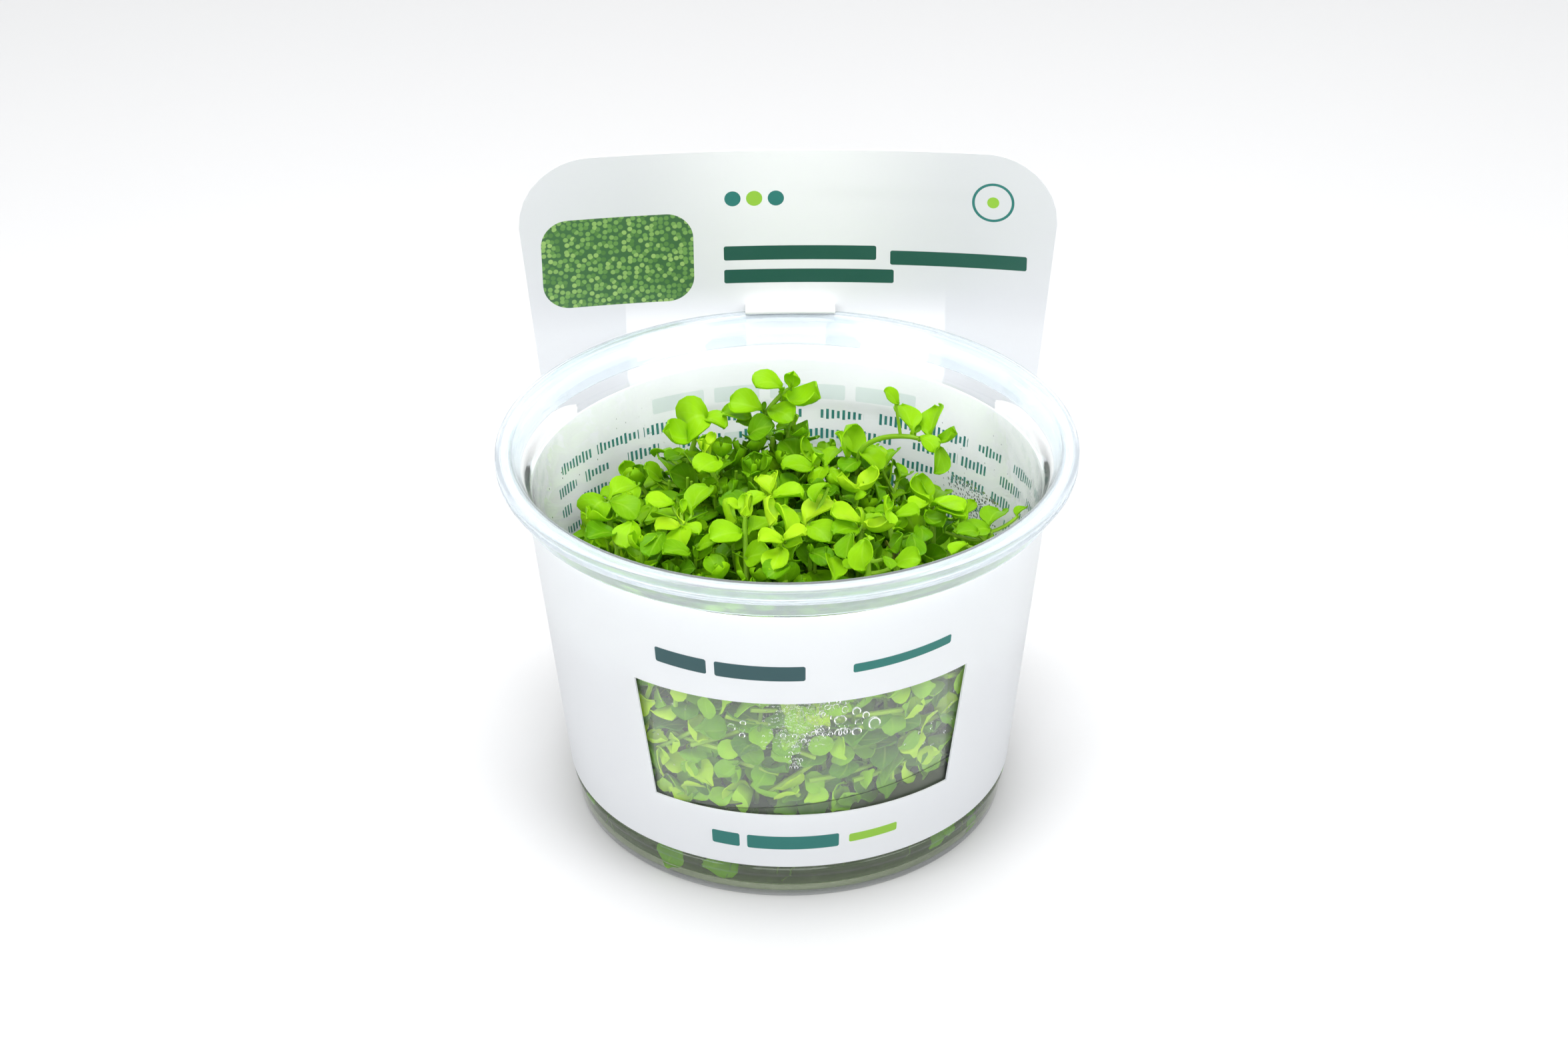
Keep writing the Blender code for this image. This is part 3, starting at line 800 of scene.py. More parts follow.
@dataclass(frozen=True)
class Greens:
    """Colours of the plant's leaves from a brown old leaf to a yellow young one; their tone also carries
    painted shade.
    """

    dead: Colour = (0.23, 0.12, 0.035)
    old: Colour = (0.040, 0.150, 0.004)
    grown: Colour = (0.135, 0.380, 0.004)
    fresh: Colour = (0.265, 0.570, 0.005)
    lime: Colour = (0.360, 0.700, 0.007)
    yellow: Colour = (0.520, 0.790, 0.020)
    rib: Colour = (0.46, 0.74, 0.06)
    through_share: float = 0.34

    def stops(self) -> list[tuple[float, Colour]]:
        """The ramp from a tone of -1, a dead leaf, to a tone of 1, a yellow one.

        Returns:
            The ramp's places and their colours.
        """
        return [
            (0.0, self.dead),
            (0.42, self.old),
            (0.64, self.grown),
            (0.80, self.fresh),
            (0.91, self.lime),
            (1.0, self.yellow),
        ]

    def leaf(self) -> bpy.types.Material:
        """Glossy thin leaf with a pale middle rib, through which light glows.

        Returns:
            The material.
        """
        made, desk, shader = new_finish("leaf")
        place = desk.object_place()
        # the tone holds the leaf's age and, for many leaves, painted light and shade
        tone = desk.add("Attribute", attribute_name="tone").outputs["Fac"]
        flat = desk.add("UVMap", uv_map="blade").outputs[0]
        across, along, _ = desk.parts(flat)
        off = desk.math("ABSOLUTE", desk.math("SUBTRACT", across, 0.5))
        mottle = desk.noise(place, 420.0, 3.0, 0.6)
        shade = desk.math("ADD", tone, desk.math("MULTIPLY", desk.math("SUBTRACT", mottle, 0.5), 0.22))
        shade = desk.math("ADD", shade, desk.math("MULTIPLY", desk.math("SUBTRACT", 0.5, along), 0.07))
        colour = desk.ramp(desk.math("MULTIPLY_ADD", shade, 0.5, 0.5, clamp=True), self.stops())
        fading = desk.math("SUBTRACT", 0.55, desk.math("MULTIPLY", along, 0.45))
        rib = desk.math("MULTIPLY", desk.stretch(off, 0.012, 0.06, 1.0, 0.0), fading)
        slant = desk.math("SUBTRACT", along, desk.math("MULTIPLY", off, 0.8))
        vein_wave = desk.math("SINE", desk.math("MULTIPLY", slant, 34.0))
        vein = desk.math("MULTIPLY", desk.stretch(vein_wave, 0.75, 1.0), 0.12)
        drawn = desk.math("MAXIMUM", rib, vein)
        colour = desk.blend(drawn, colour, self.rib)
        rough = desk.math("ADD", 0.22, desk.math("MULTIPLY", mottle, 0.2))
        grain = desk.noise(place, 2600.0, 2.0)
        height = desk.math("SUBTRACT", desk.math("MULTIPLY", grain, 0.35), desk.math("MULTIPLY", drawn, 0.8))
        desk.put(shader.inputs["Base Color"], colour)
        desk.put(shader.inputs["Roughness"], rough)
        desk.put(shader.inputs["Specular IOR Level"], 0.10)
        normal = desk.bump(height, 0.35, 0.12)
        desk.put(shader.inputs["Normal"], normal)
        glow = desk.blend(0.5, colour, (0.50, 0.80, 0.008))
        through = desk.add("BsdfTranslucent", {"Color": glow, "Normal": normal})
        desk.show_mix(self.through_share, shader, through)
        return made

    def stem(self) -> bpy.types.Material:
        """Pale juicy stem, a little reddish low down and lined along its length.

        Returns:
            The material.
        """
        made, desk, shader = new_finish("stem")
        place = desk.object_place()
        tone = desk.add("Attribute", attribute_name="tone").outputs["Fac"]
        flat = desk.add("UVMap", uv_map="blade").outputs[0]
        across, _, _ = desk.parts(flat)
        spots = desk.noise(place, 300.0, 3.0, 0.6)
        shade = desk.math("ADD", tone, desk.math("MULTIPLY", desk.math("SUBTRACT", spots, 0.5), 0.3))
        stops = [
            (0.0, (0.18, 0.09, 0.04)),
            (0.45, (0.12, 0.24, 0.02)),
            (0.75, (0.26, 0.52, 0.02)),
            (1.0, (0.44, 0.70, 0.05)),
        ]
        colour = desk.ramp(desk.math("MULTIPLY_ADD", shade, 0.5, 0.5, clamp=True), stops)
        lines = desk.math("SINE", desk.math("MULTIPLY", across, 50.0))
        fluting = desk.stretch(lines, 0.5, 1.0, 0.0, 0.15)
        desk.put(shader.inputs["Base Color"], desk.blend(fluting, colour, self.rib))
        desk.put(shader.inputs["Roughness"], desk.math("ADD", 0.3, desk.math("MULTIPLY", spots, 0.2)))
        desk.put(shader.inputs["Specular IOR Level"], 0.2)
        normal = desk.bump(desk.math("ADD", lines, spots), 0.25, 0.06)
        desk.put(shader.inputs["Normal"], normal)
        glow = desk.blend(0.4, colour, (0.7, 0.85, 0.1))
        desk.show_mix(0.25, shader, desk.add("BsdfTranslucent", {"Color": glow, "Normal": normal}))
        return made

    def shade_growth(self) -> bpy.types.Material:
        """Matted growth behind the leaves that are seen, painted very dark as painted shade for the inside of
        the growth.

        Returns:
            The material.
        """
        made, desk, shader = new_finish("shaded growth")
        place = desk.object_place()
        cells = desk.add("TexVoronoi", {"Vector": place, "Scale": 260.0, "Randomness": 1.0})
        patch = desk.noise(place, 150.0, 4.0, 0.6)
        share = desk.math("MULTIPLY", desk.stretch(cells.outputs["Distance"], 0.1, 0.75, 1.0, 0.0), patch)
        # painted shade: near-black greens for the unlit inside of the growth
        stops = [(0.0, (0.012, 0.03, 0.006)), (0.45, (0.03, 0.085, 0.010)), (1.0, (0.10, 0.26, 0.016))]
        colour = desk.ramp(share, stops)
        desk.put(shader.inputs["Base Color"], colour)
        desk.put(shader.inputs["Roughness"], desk.stretch(patch, 0.2, 0.8, 0.55, 0.9))
        desk.put(shader.inputs["Normal"], desk.bump(cells.outputs["Distance"], 0.9, 1.5))
        return made


@dataclass(frozen=True)
class PrintColours:
    """Inks and sheet of the sleeve."""

    sheet: Colour = (0.86, 0.875, 0.90)
    # The sheet's inside is painted whiter than its outside: painted light for the dimmer light inside the
    # cup.
    sheet_inside_painted_light: Colour = (0.94, 0.95, 0.94)
    # The card's ground is painted greyer to its sides and whiter up its middle: painted shade and light.
    card_side_painted_shade: Colour = (0.76, 0.77, 0.79)
    card_middle: Colour = (0.93, 0.935, 0.94)
    # A white field low on the card behind the cup: painted reflection of the lamps on the cup's back wall.
    card_painted_glare: Colour = (0.96, 0.96, 0.965)
    card_low: Colour = (0.80, 0.81, 0.83)
    slate: Colour = (0.040, 0.105, 0.115)
    teal: Colour = (0.030, 0.210, 0.185)
    pine: Colour = (0.022, 0.110, 0.080)
    lime: Colour = (0.330, 0.620, 0.060)
    faint: Colour = (0.62, 0.74, 0.69)


# The cup


@dataclass(frozen=True)
class ConeWall:
    """The cup's cone: radii of its wall at a height, all in millimetres."""

    base_radius: float = 38.85
    slope: float = 0.0992
    wall: float = 0.75
    floor: float = 0.9

    def outer(self, z: float | np.ndarray) -> float | np.ndarray:
        """Radius of the outer face at a height."""
        return self.base_radius + self.slope * z

    def inner(self, z: float | np.ndarray) -> float | np.ndarray:
        """Radius of the inner face at a height."""
        return self.outer(z) - self.wall

    def on_wall(self, degrees: float, z: float, inside: float = 0.0) -> np.ndarray:
        """A point near the inner face, at an angle counted from the front towards the cup's right.

        Args:
            degrees: the angle from the front.
            z: the height.
            inside: how far the point is inside the inner face.

        Returns:
            The point.
        """
        radius, angle = self.inner(z) - inside, math.radians(degrees)
        return np.array((radius * math.sin(angle), -radius * math.cos(angle), z))

    def press(self, points: np.ndarray, room: float = 2.2, gap: float = 0.16) -> np.ndarray:
        """Bend points that would pass the wall so that they lie along its inside.

        Args:
            points: points, one a row.
            room: the depth before the wall over which a leaf bends.
            gap: the least distance to the wall.

        Returns:
            The points, none of them past the wall.
        """
        radius = np.hypot(points[:, 0], points[:, 1])
        start = self.inner(points[:, 2]) - gap - room
        over = np.maximum(radius - start, 0.0)
        bent = np.minimum(radius, start) + room * np.tanh(over / room)
        share = bent / np.maximum(radius, 1e-6)
        pressed = points.copy()
        pressed[:, :2] *= share[:, None]
        return pressed


@dataclass
class CultureCup:
    """The clear cup: cone wall, stacking ridge, and a thin-walled rim that folds out and down."""

    cone: ConeWall
    sides: int = 176
    ridge_z: float = 5.4
    ridge: float = 0.45
    rim_radius: float = 50.5
    rim_top: float = 70.05
    rim_under: float = 66.6
    rim_inner: float = 47.3
    ledge_radius: float = 45.7
    ledge_z: float = 65.6
    skirt_radius: float = 48.5
    skirt_z: float = 63.6
    rim_wall: float = 0.7
    milky_from: float = 47.0

    def outside(self) -> list[tuple[float, float, float]]:
        """Corners up the outside of the cone to under the rim's roof.

        Returns:
            Radius, height and rounding radius of each.
        """
        outer, ridge = self.cone.outer, self.ridge_z
        return [
            (self.cone.base_radius - 1.2, 0.0, 0.0),
            (outer(0.0) - 0.05, 0.0, 0.8),
            (outer(ridge - 0.5), ridge - 0.5, 0.3),
            (outer(ridge) + self.ridge, ridge, 0.3),
            (outer(ridge + 1.0) + self.ridge, ridge + 1.0, 0.3),
            (outer(ridge + 1.5), ridge + 1.5, 0.3),
            (outer(62.4), 62.4, 1.0),
            (self.ledge_radius + 0.35, self.ledge_z - 0.3, 1.2),
            (self.rim_inner + 0.55, self.rim_top - 1.4, 0.5),
            (self.rim_inner + 0.9, self.rim_top - self.rim_wall, 0.4),
        ]

    def skirt(self) -> list[tuple[float, float, float]]:
        """Corners down the inside of the rim's fold, round its edge and up its outside.

        Returns:
            Radius, height and rounding radius of each.
        """
        inner_skirt = self.rim_radius - self.rim_wall
        return [
            (inner_skirt - 0.3, self.rim_top - self.rim_wall, 0.4),
            (inner_skirt, self.rim_under + 0.9, 0.4),
            (self.skirt_radius - self.rim_wall + 0.1, self.rim_under + 0.25, 0.4),
            (self.skirt_radius - self.rim_wall - 0.35, self.skirt_z, 0.2),
            (self.skirt_radius - 0.4, self.skirt_z - 0.1, 0.3),
            (self.skirt_radius + 0.1, self.rim_under - 0.1, 0.5),
            (self.rim_radius - 0.05, self.rim_under + 0.45, 0.5),
            (self.rim_radius, self.rim_under + 1.35, 0.2),
            (self.rim_radius - 0.22, self.rim_under + 1.6, 0.2),
            (self.rim_radius, self.rim_under + 1.85, 0.2),
            (self.rim_radius, self.rim_top - 0.5, 0.9),
        ]

    def inside(self) -> list[tuple[float, float, float]]:
        """Corners over the rim and down the inside to the floor.

        Returns:
            Radius, height and rounding radius of each.
        """
        inner = self.cone.inner
        return [
            (self.rim_radius - 1.3, self.rim_top, 0.9),
            (self.rim_inner + 0.5, self.rim_top, 0.7),
            (self.rim_inner - 0.25, self.rim_top - 1.3, 0.9),
            (self.ledge_radius, self.ledge_z, 0.9),
            (inner(63.0) + 0.1, 63.0, 1.0),
            (inner(40.0), 40.0, 0.0),
            (inner(self.cone.floor + 2.0), self.cone.floor + 2.0, 0.6),
            (inner(self.cone.floor) - 1.5, self.cone.floor, 0.9),
            (inner(self.cone.floor) - 4.0, self.cone.floor, 0.0),
        ]

    def build(self, clear: bpy.types.Material, milky: bpy.types.Material) -> bpy.types.Object:
        """Model the cup.

        Args:
            clear: the clear plastic.
            milky: the plastic of the rim, which is whiter.

        Returns:
            The cup.
        """
        profile = rounded(self.outside() + self.skirt() + self.inside())
        cup = turned("moulded_cup", profile, self.sides)
        cup.data.materials.append(clear)
        cup.data.materials.append(milky)
        for face in cup.data.polygons:
            out = math.hypot(face.center.x, face.center.y) > self.milky_from * MM
            face.material_index = int(out and face.center.z > self.skirt_z * MM - 0.001)
        return seat_on(cup, "culture_cup", slot="cup")


@dataclass
class GelPad:
    """The nutrient gel: a pad that wets the wall and lies a little higher at the right."""

    cone: ConeWall
    sides: int = 128
    middle_top: float = 20.0
    tilt: float = 0.11
    into_wall: float = 0.3
    meniscus: float = 0.7

    def top(self, x: float | np.ndarray) -> float | np.ndarray:
        """Height of the gel's surface."""
        return self.middle_top + self.tilt * x

    def build(self, finish: bpy.types.Material) -> bpy.types.Object:
        """Model the gel.

        Args:
            finish: the gel's material.

        Returns:
            The gel.
        """
        low, inner, top = self.cone.floor - 0.2, self.cone.inner, self.middle_top
        corners = [
            (inner(low) - 6.0, low, 0.0),
            (inner(low) - 0.9, low, 1.0),
            (inner(low + 2.0) + self.into_wall, low + 2.0, 0.4),
            (inner(top + self.meniscus) + self.into_wall, top + self.meniscus, 0.0),
            (inner(top + self.meniscus) - 0.1, top + self.meniscus, 0.1),
            (inner(top) - 0.7, top + 0.12, 0.5),
            (inner(top) - 2.5, top, 0.6),
            (inner(top) - 12.0, top - 0.1, 0.0),
        ]
        pad = turned("gel_pad", rounded(corners), self.sides)
        for vert in pad.data.vertices:
            if vert.co.z > 0.7 * top * MM:
                rise = self.tilt * vert.co.x
                radius = math.hypot(vert.co.x, vert.co.y)
                share = (radius + self.cone.slope * rise) / radius
                vert.co = (vert.co.x * share, vert.co.y * share, vert.co.z + rise)
        pad.data.materials.append(finish)
        return seat_on(pad, "nutrient_gel", slot="gel")


# The sleeve


@dataclass
class PrintedSleeve:
    """The printed sheet: a band round the cone with a window, and the header card behind the rim."""

    cone: ConeWall
    inks: PrintColours
    columns: int = 180
    clearance: float = 0.25
    sheet: float = 0.35
    bottom: float = 7.6
    top: float = 61.6
    window_bottom: float = 19.2
    window_top: float = 43.8
    window_centre: float = 3.4
    window_half_top: float = 39.7
    window_half_bottom: float = 37.4
    card_top: float = 101.7
    card_bottom: float = 49.5
    card_free_z: float = 63.0
    card_y: float = 51.05
    card_curve: float = 230.0
    card_half_top: float = 49.4
    card_taper: float = 0.0785
    card_offset: float = 0.6
    card_corner: float = 13.0
    join_half: float = 10.0
    join_fade: float = 33.0
    tongue_left: float = -7.5
    tongue_right: float = 9.3
    tongue_steps: tuple[float, ...] = (0.5, 1.7, 1.7)
    tongue_slot: float = 3.7
    side_columns: int = 12
    tongue_columns: int = 4
    rim_top: float = 70.05
    text_rise: float = 2.17

    def middle_radius(self, z: float) -> float:
        """Radius of the sheet's middle at a height."""
        return self.cone.outer(z) + self.clearance + self.sheet / 2

    def make_band(self) -> bpy.types.Object:
        """The band: a tube set to the cone's taper, cut at the window's edges and opened there.

        Returns:
            The band, as a sheet without its wall.
        """
        deselect_all()
        low, high = self.middle_radius(self.bottom), self.middle_radius(self.top)
        bpy.ops.mesh.primitive_cylinder_add(
            vertices=self.columns,
            radius=low * MM,
            depth=(self.top - self.bottom) * MM,
            end_fill_type="NOTHING",
            location=(0.0, 0.0, (self.top + self.bottom) / 2 * MM),
        )
        band = bpy.context.active_object
        bpy.ops.object.transform_apply(location=True, rotation=True, scale=True)
        open_edit(band)
        middle = (self.top + self.bottom) / 2 * MM
        choose(band, lambda vert: vert.co.z > middle)
        share = high / low
        bpy.ops.transform.resize(value=(share, share, 1.0), center_override=(0.0, 0.0, self.top * MM))
        for z in (self.window_bottom, self.window_top, 30.0, 55.0):
            bpy.ops.mesh.select_all(action="SELECT")
            bpy.ops.mesh.bisect(plane_co=(0.0, 0.0, z * MM), plane_no=(0.0, 0.0, 1.0))
        close_edit()
        self.open_window(band)
        return band

    def window_edge(self, z: float) -> tuple[float, float]:
        """Angles of the window's left and right edge at a height, in degrees from the front.

        Args:
            z: the height.

        Returns:
            The left edge's angle and the right one's.
        """
        share = (z - self.window_bottom) / (self.window_top - self.window_bottom)
        half = self.window_half_bottom + share * (self.window_half_top - self.window_half_bottom)
        return self.window_centre - half, self.window_centre + half

    def open_window(self, band: bpy.types.Object) -> None:
        """Cut the band along the window's side edges and take out the faces between them.

        Args:
            band: the band, in object mode.
        """
        low, high = (self.window_bottom - 0.05) * MM, (self.window_top + 0.05) * MM
        cuts = []
        open_edit(band)
        for side in (0, 1):
            ends = []
            for z in (self.window_bottom, self.window_top):
                angle, radius = math.radians(self.window_edge(z)[side]), self.middle_radius(z)
                ends.append(Vector((radius * math.sin(angle), -radius * math.cos(angle), z)) * MM)
            square = (ends[1] - ends[0]).cross(Vector((ends[0].x, ends[0].y, 0.0))).normalized()
            choose(band, lambda vert: low < vert.co.z < high and vert.co.y < 0.0)
            bpy.ops.mesh.bisect(plane_co=ends[0], plane_no=square)
            cuts.append((ends[0], square))
        close_edit()
        (left, from_left), (right, from_right) = cuts
        form = bmesh.new()
        form.from_mesh(band.data)
        opened = []
        for face in form.faces:
            centre = face.calc_center_median()
            between = (centre - left).dot(from_left) > 0.0 > (centre - right).dot(from_right)
            if low < centre.z < high and centre.y < 0.0 and between:
                opened.append(face)
        bmesh.ops.delete(form, geom=opened, context="FACES")
        form.to_mesh(band.data)
        form.free()

    def half_width(self, z: float) -> float:
        """Half the card's width at a height, with its round top corners.

        Args:
            z: the height.

        Returns:
            Half the width.
        """
        half = self.card_half_top - self.card_taper * max(self.card_top - self.card_corner - z, 0.0)
        into = z - (self.card_top - self.card_corner)
        if into <= 0:
            return half
        return half - self.card_corner + math.sqrt(max(self.card_corner**2 - into**2, 0.0))

    def depth_at(self, x: float, z: float) -> float:
        """The card's depth: a gentle curve behind the rim, drawn in to the band at its foot.

        Args:
            x: the place across the card.
            z: the height.

        Returns:
            How far behind the cup's middle it is.
        """

        def eased(value: float) -> float:
            """A share from 0 to 1 that starts and ends gently."""
            value = min(max(value, 0.0), 1.0)
            return value * value * (3.0 - 2.0 * value)

        plate = self.card_y - (x - self.card_offset) ** 2 / (2.0 * self.card_curve)
        radius = self.cone.outer(z) + self.clearance + self.sheet
        on_band = radius - x * x / (2.0 * radius)
        down = 1.0 - eased((z - self.card_bottom) / (self.card_free_z - self.card_bottom))
        near = 1.0 - eased((abs(x) - self.join_half) / (self.join_fade - self.join_half))
        return plate + (on_band - plate) * down * near

    def card_rows(self) -> list[float]:
        """Heights of the card's rows, closer together round its corners and at the tongue's fold.

        Returns:
            The heights.
        """
        turns = (12, 24, 36, 48, 58, 67, 75, 82, 87)
        fold = self.rim_top + self.clearance + self.sheet / 2
        corner = self.card_top - self.card_corner
        rows = list(np.linspace(self.card_bottom, fold - self.tongue_slot, 12))
        rows += [fold, 74.0, 78.0, 83.0, corner]
        rows += [corner + self.card_corner * math.sin(math.radians(turn)) for turn in turns]
        return rows + [self.card_top]

    def card_columns(self, half: float) -> list[float]:
        """Places across the card, with the tongue's two edges among them.

        Args:
            half: half the card's width there.

        Returns:
            The places.
        """
        left = np.linspace(self.card_offset - half, self.tongue_left, self.side_columns + 1)
        middle = np.linspace(self.tongue_left, self.tongue_right, self.tongue_columns + 1)
        right = np.linspace(self.tongue_right, self.card_offset + half, self.side_columns + 1)
        return [*left[:-1], *middle, *right[1:]]

    def make_card(self) -> bpy.types.Object:
        """The card: a grid drawn to its outline and curve, with the tongue cut and folded forward.

        Returns:
            The card, as a sheet without its wall.
        """
        rows = self.card_rows()
        across = len(self.card_columns(1.0))
        deselect_all()
        bpy.ops.mesh.primitive_grid_add(x_subdivisions=across - 1, y_subdivisions=len(rows) - 1, size=2 * MM)
        card = bpy.context.active_object
        columns = sorted({round(v.co.x, 7) for v in card.data.vertices})
        levels = sorted({round(v.co.y, 7) for v in card.data.vertices})
        fold = len([z for z in rows if z < self.rim_top])
        cells = {}
        for vert in card.data.vertices:
            column, row = columns.index(round(vert.co.x, 7)), levels.index(round(vert.co.y, 7))
            z = rows[row]
            x = self.card_columns(self.half_width(min(z, self.card_top - 0.01)))[column]
            vert.co = Vector((x, self.depth_at(x, z), z)) * MM
            cells[vert.index] = (column, row)
        form = bmesh.new()
        form.from_mesh(card.data)
        form.verts.ensure_lookup_table()
        slot = [f for f in form.faces if self.in_slot([cells[v.index] for v in f.verts], fold)]
        bmesh.ops.delete(form, geom=slot, context="FACES")
        form.to_mesh(card.data)
        form.free()
        self.fold_tongue(card, rows[fold])
        open_edit(card)
        bpy.ops.mesh.select_all(action="SELECT")
        bpy.ops.mesh.flip_normals()
        close_edit()
        return card

    def in_slot(self, corners: Sequence[tuple[int, int]], fold: int) -> bool:
        """True for a face of the card that the tongue was cut from.

        Args:
            corners: the column and row of each of its corners.
            fold: the row of the tongue's hinge.

        Returns:
            Whether the face lies in the slot.
        """
        last = self.side_columns + self.tongue_columns
        across = all(self.side_columns <= column <= last for column, _ in corners)
        return across and {row for _, row in corners} == {fold - 1, fold}

    def fold_tongue(self, card: bpy.types.Object, fold_z: float) -> None:
        """Draw the tongue forward from its hinge, in steps.

        Args:
            card: the card, in object mode.
            fold_z: the hinge's height.
        """
        open_edit(card)
        left, right = self.tongue_left - 0.01, self.tongue_right + 0.01
        choose(card, lambda v: left * MM < v.co.x < right * MM and abs(v.co.z - fold_z * MM) < 1e-6)
        bpy.ops.mesh.select_mode(type="EDGE")
        for reach in self.tongue_steps:
            bpy.ops.mesh.extrude_region_move(TRANSFORM_OT_translate={"value": (0.0, -reach * MM, 0.0)})
        close_edit()

    def build(self, bar: Group, strokes: Group, uneven: Group) -> bpy.types.Object:
        """Model the sleeve and print it.

        Args:
            bar: the group for printed bars.
            strokes: the group for rows of strokes.
            uneven: the group for slight unevenness.

        Returns:
            The sleeve.
        """
        press = SleevePrint(self, bar, strokes, uneven)
        band = self.make_band()
        band.data.materials.append(press.band_outside())
        band.data.materials.append(press.band_inside())
        thicken(band, self.sheet * MM, inner_slot=1)
        card = self.make_card()
        card.data.materials.append(press.card_back())
        card.data.materials.append(press.card_front())
        thicken(card, self.sheet * MM, inner_slot=1)
        take_up(band)
        card.select_set(True)
        bpy.ops.object.join()
        sleeve = set_down(bpy.context.active_object, "printed_sleeve", 40.0)
        return seat_on(sleeve, "label_sleeve", slot="sleeve")


@dataclass
class SleevePrint:
    """The sleeve's print: plain bars, strokes and dots, a ring and a panel of green flecks."""

    sleeve: PrintedSleeve
    bar: Group
    strokes: Group
    uneven: Group
    arc_radius: float = 43.5

    def around(self, desk: NodeDesk, from_back: bool) -> Socket:
        """A place on the unrolled band: along its arc and up it, in millimetres.

        Args:
            desk: the material's node desk.
            from_back: count from the back centre instead of the front.

        Returns:
            The place.
        """
        x, y, z = desk.parts(desk.millimetres())
        ahead = y if from_back else desk.math("MULTIPLY", y, -1.0)
        angle = desk.math("ARCTAN2", x, ahead)
        rise = desk.math("MULTIPLY", desk.math("MULTIPLY", angle, angle), self.sleeve.text_rise)
        return desk.joined(desk.math("MULTIPLY", angle, self.arc_radius), desk.math("SUBTRACT", z, rise))

    def put_bar(self, desk: NodeDesk, place: Socket, box: Bar, corner: float = 0.4) -> Socket:
        """A filled bar's mask.

        Args:
            desk: the material's node desk.
            place: where on the sheet the shader is.
            box: the bar's left, right, bottom and top.
            corner: its corner radius.

        Returns:
            The mask.
        """
        left, right, low, high = box
        node = desk.group(self.bar, {
            "Place": place,
            "Centre": ((left + right) / 2, (low + high) / 2, 0.0),
            "Half Size": ((right - left) / 2, (high - low) / 2, 0.0),
            "Corner": corner,
        })
        return node.outputs["Filled"]

    def surface(self, desk: NodeDesk, shader: bpy.types.Node, colour: Socket, through: float) -> None:
        """Satin sheet under a print, a little see-through to light.

        Args:
            desk: the material's node desk.
            shader: its Principled node.
            colour: the printed colour.
            through: the share of light that passes.
        """
        node = desk.group(self.uneven, {"Place": desk.object_place(), "Scale": 90.0})
        desk.put(shader.inputs["Base Color"], colour)
        rough = desk.math("ADD", 0.34, desk.math("MULTIPLY", node.outputs["Wear"], 0.08))
        desk.put(shader.inputs["Roughness"], rough)
        desk.put(shader.inputs["Specular IOR Level"], 0.4)
        desk.put(shader.inputs["Normal"], desk.bump(node.outputs["Height"], 0.12, 0.25))
        desk.show_mix(through, shader, desk.add("BsdfTranslucent", {"Color": colour}))

    def band_outside(self) -> bpy.types.Material:
        """White satin band with two short rows of bars at the front and strokes at the back.

        Returns:
            The material.
        """
        inks = self.sleeve.inks
        made, desk, shader = new_finish("band outside")
        front = self.around(desk, False)
        back = self.around(desk, True)
        colour = desk.blend(desk.noise(desk.object_place(), 60.0, 2.0), inks.sheet, (0.88, 0.89, 0.91))
        rows = (
            ((-22.6, -13.6, 48.6, 51.6), inks.slate),
            ((-12.2, 2.6, 48.6, 51.6), inks.slate),
            ((10.4, 28.2, 49.3, 51.1), inks.teal),
            ((-14.6, -9.4, 11.6, 14.5), inks.teal),
            ((-8.0, 8.9, 11.6, 14.5), inks.teal),
            ((10.8, 20.2, 12.1, 13.9), inks.lime),
        )
        for box, ink in rows:
            colour = desk.blend(self.put_bar(desk, front, box), colour, ink)
        for box, ink in (((-21.0, 22.0, 51.6, 53.6), inks.pine), ((-12.0, 13.0, 43.0, 45.2), inks.pine)):
            colour = desk.blend(self.put_bar(desk, back, box), colour, ink)
        small = desk.group(self.strokes, {
            "Place": back, "Left": -34.0, "Right": 34.0, "Bottom": 14.0, "Top": 38.0,
            "Row Pitch": 3.0, "Stroke Half Height": 0.55, "Word Pitch": 8.5,
        })
        colour = desk.blend(small.outputs[0], colour, inks.teal)
        self.surface(desk, shader, colour, 0.3)
        return made

    def band_inside(self) -> bpy.types.Material:
        """Inside of the band: rows of strokes, and the outside's bars showing through faintly, on a ground
        painted whiter as painted light.

        Returns:
            The material.
        """
        inks = self.sleeve.inks
        made, desk, shader = new_finish("band inside")
        back = self.around(desk, True)
        cloud = desk.noise(desk.object_place(), 60.0, 2.0)
        # painted light: a whiter ground than the outside's, for the dimmer light inside the cup
        colour = desk.blend(cloud, inks.sheet_inside_painted_light, (0.92, 0.935, 0.93))
        for left, right in ((-26.0, -15.5), (-13.5, -5.0), (-3.0, 11.0), (13.0, 25.0)):
            bar = self.put_bar(desk, back, (left, right, 53.9, 56.9))
            colour = desk.blend(desk.math("MULTIPLY", bar, 0.55), colour, inks.faint)
        low_bar = self.put_bar(desk, back, (-12.0, 14.0, 44.6, 47.6))
        colour = desk.blend(desk.math("MULTIPLY", low_bar, 0.55), colour, inks.faint)
        small = desk.group(self.strokes, {
            "Place": back, "Left": -54.0, "Right": 70.0, "Bottom": 24.9, "Top": 52.9,
            "Row Pitch": 4.0, "Stroke Half Height": 1.15, "Word Pitch": 11.5,
        })
        colour = desk.blend(small.outputs[0], colour, inks.teal)
        self.surface(desk, shader, colour, 0.3)
        return made

    def card_ground(self, desk: NodeDesk, x: Socket, z: Socket) -> Socket:
        """The card's ground: light grey, whiter up its middle, with a white field behind the cup.

        The grey sides and whiter middle are painted shade and light, and the white field is a painted
        reflection of the lamps on the cup's back wall.

        Args:
            desk: the material's node desk.
            x: the place across the card in millimetres.
            z: the place up it.

        Returns:
            The colour.
        """
        inks = self.sleeve.inks
        off = desk.math("ABSOLUTE", x)
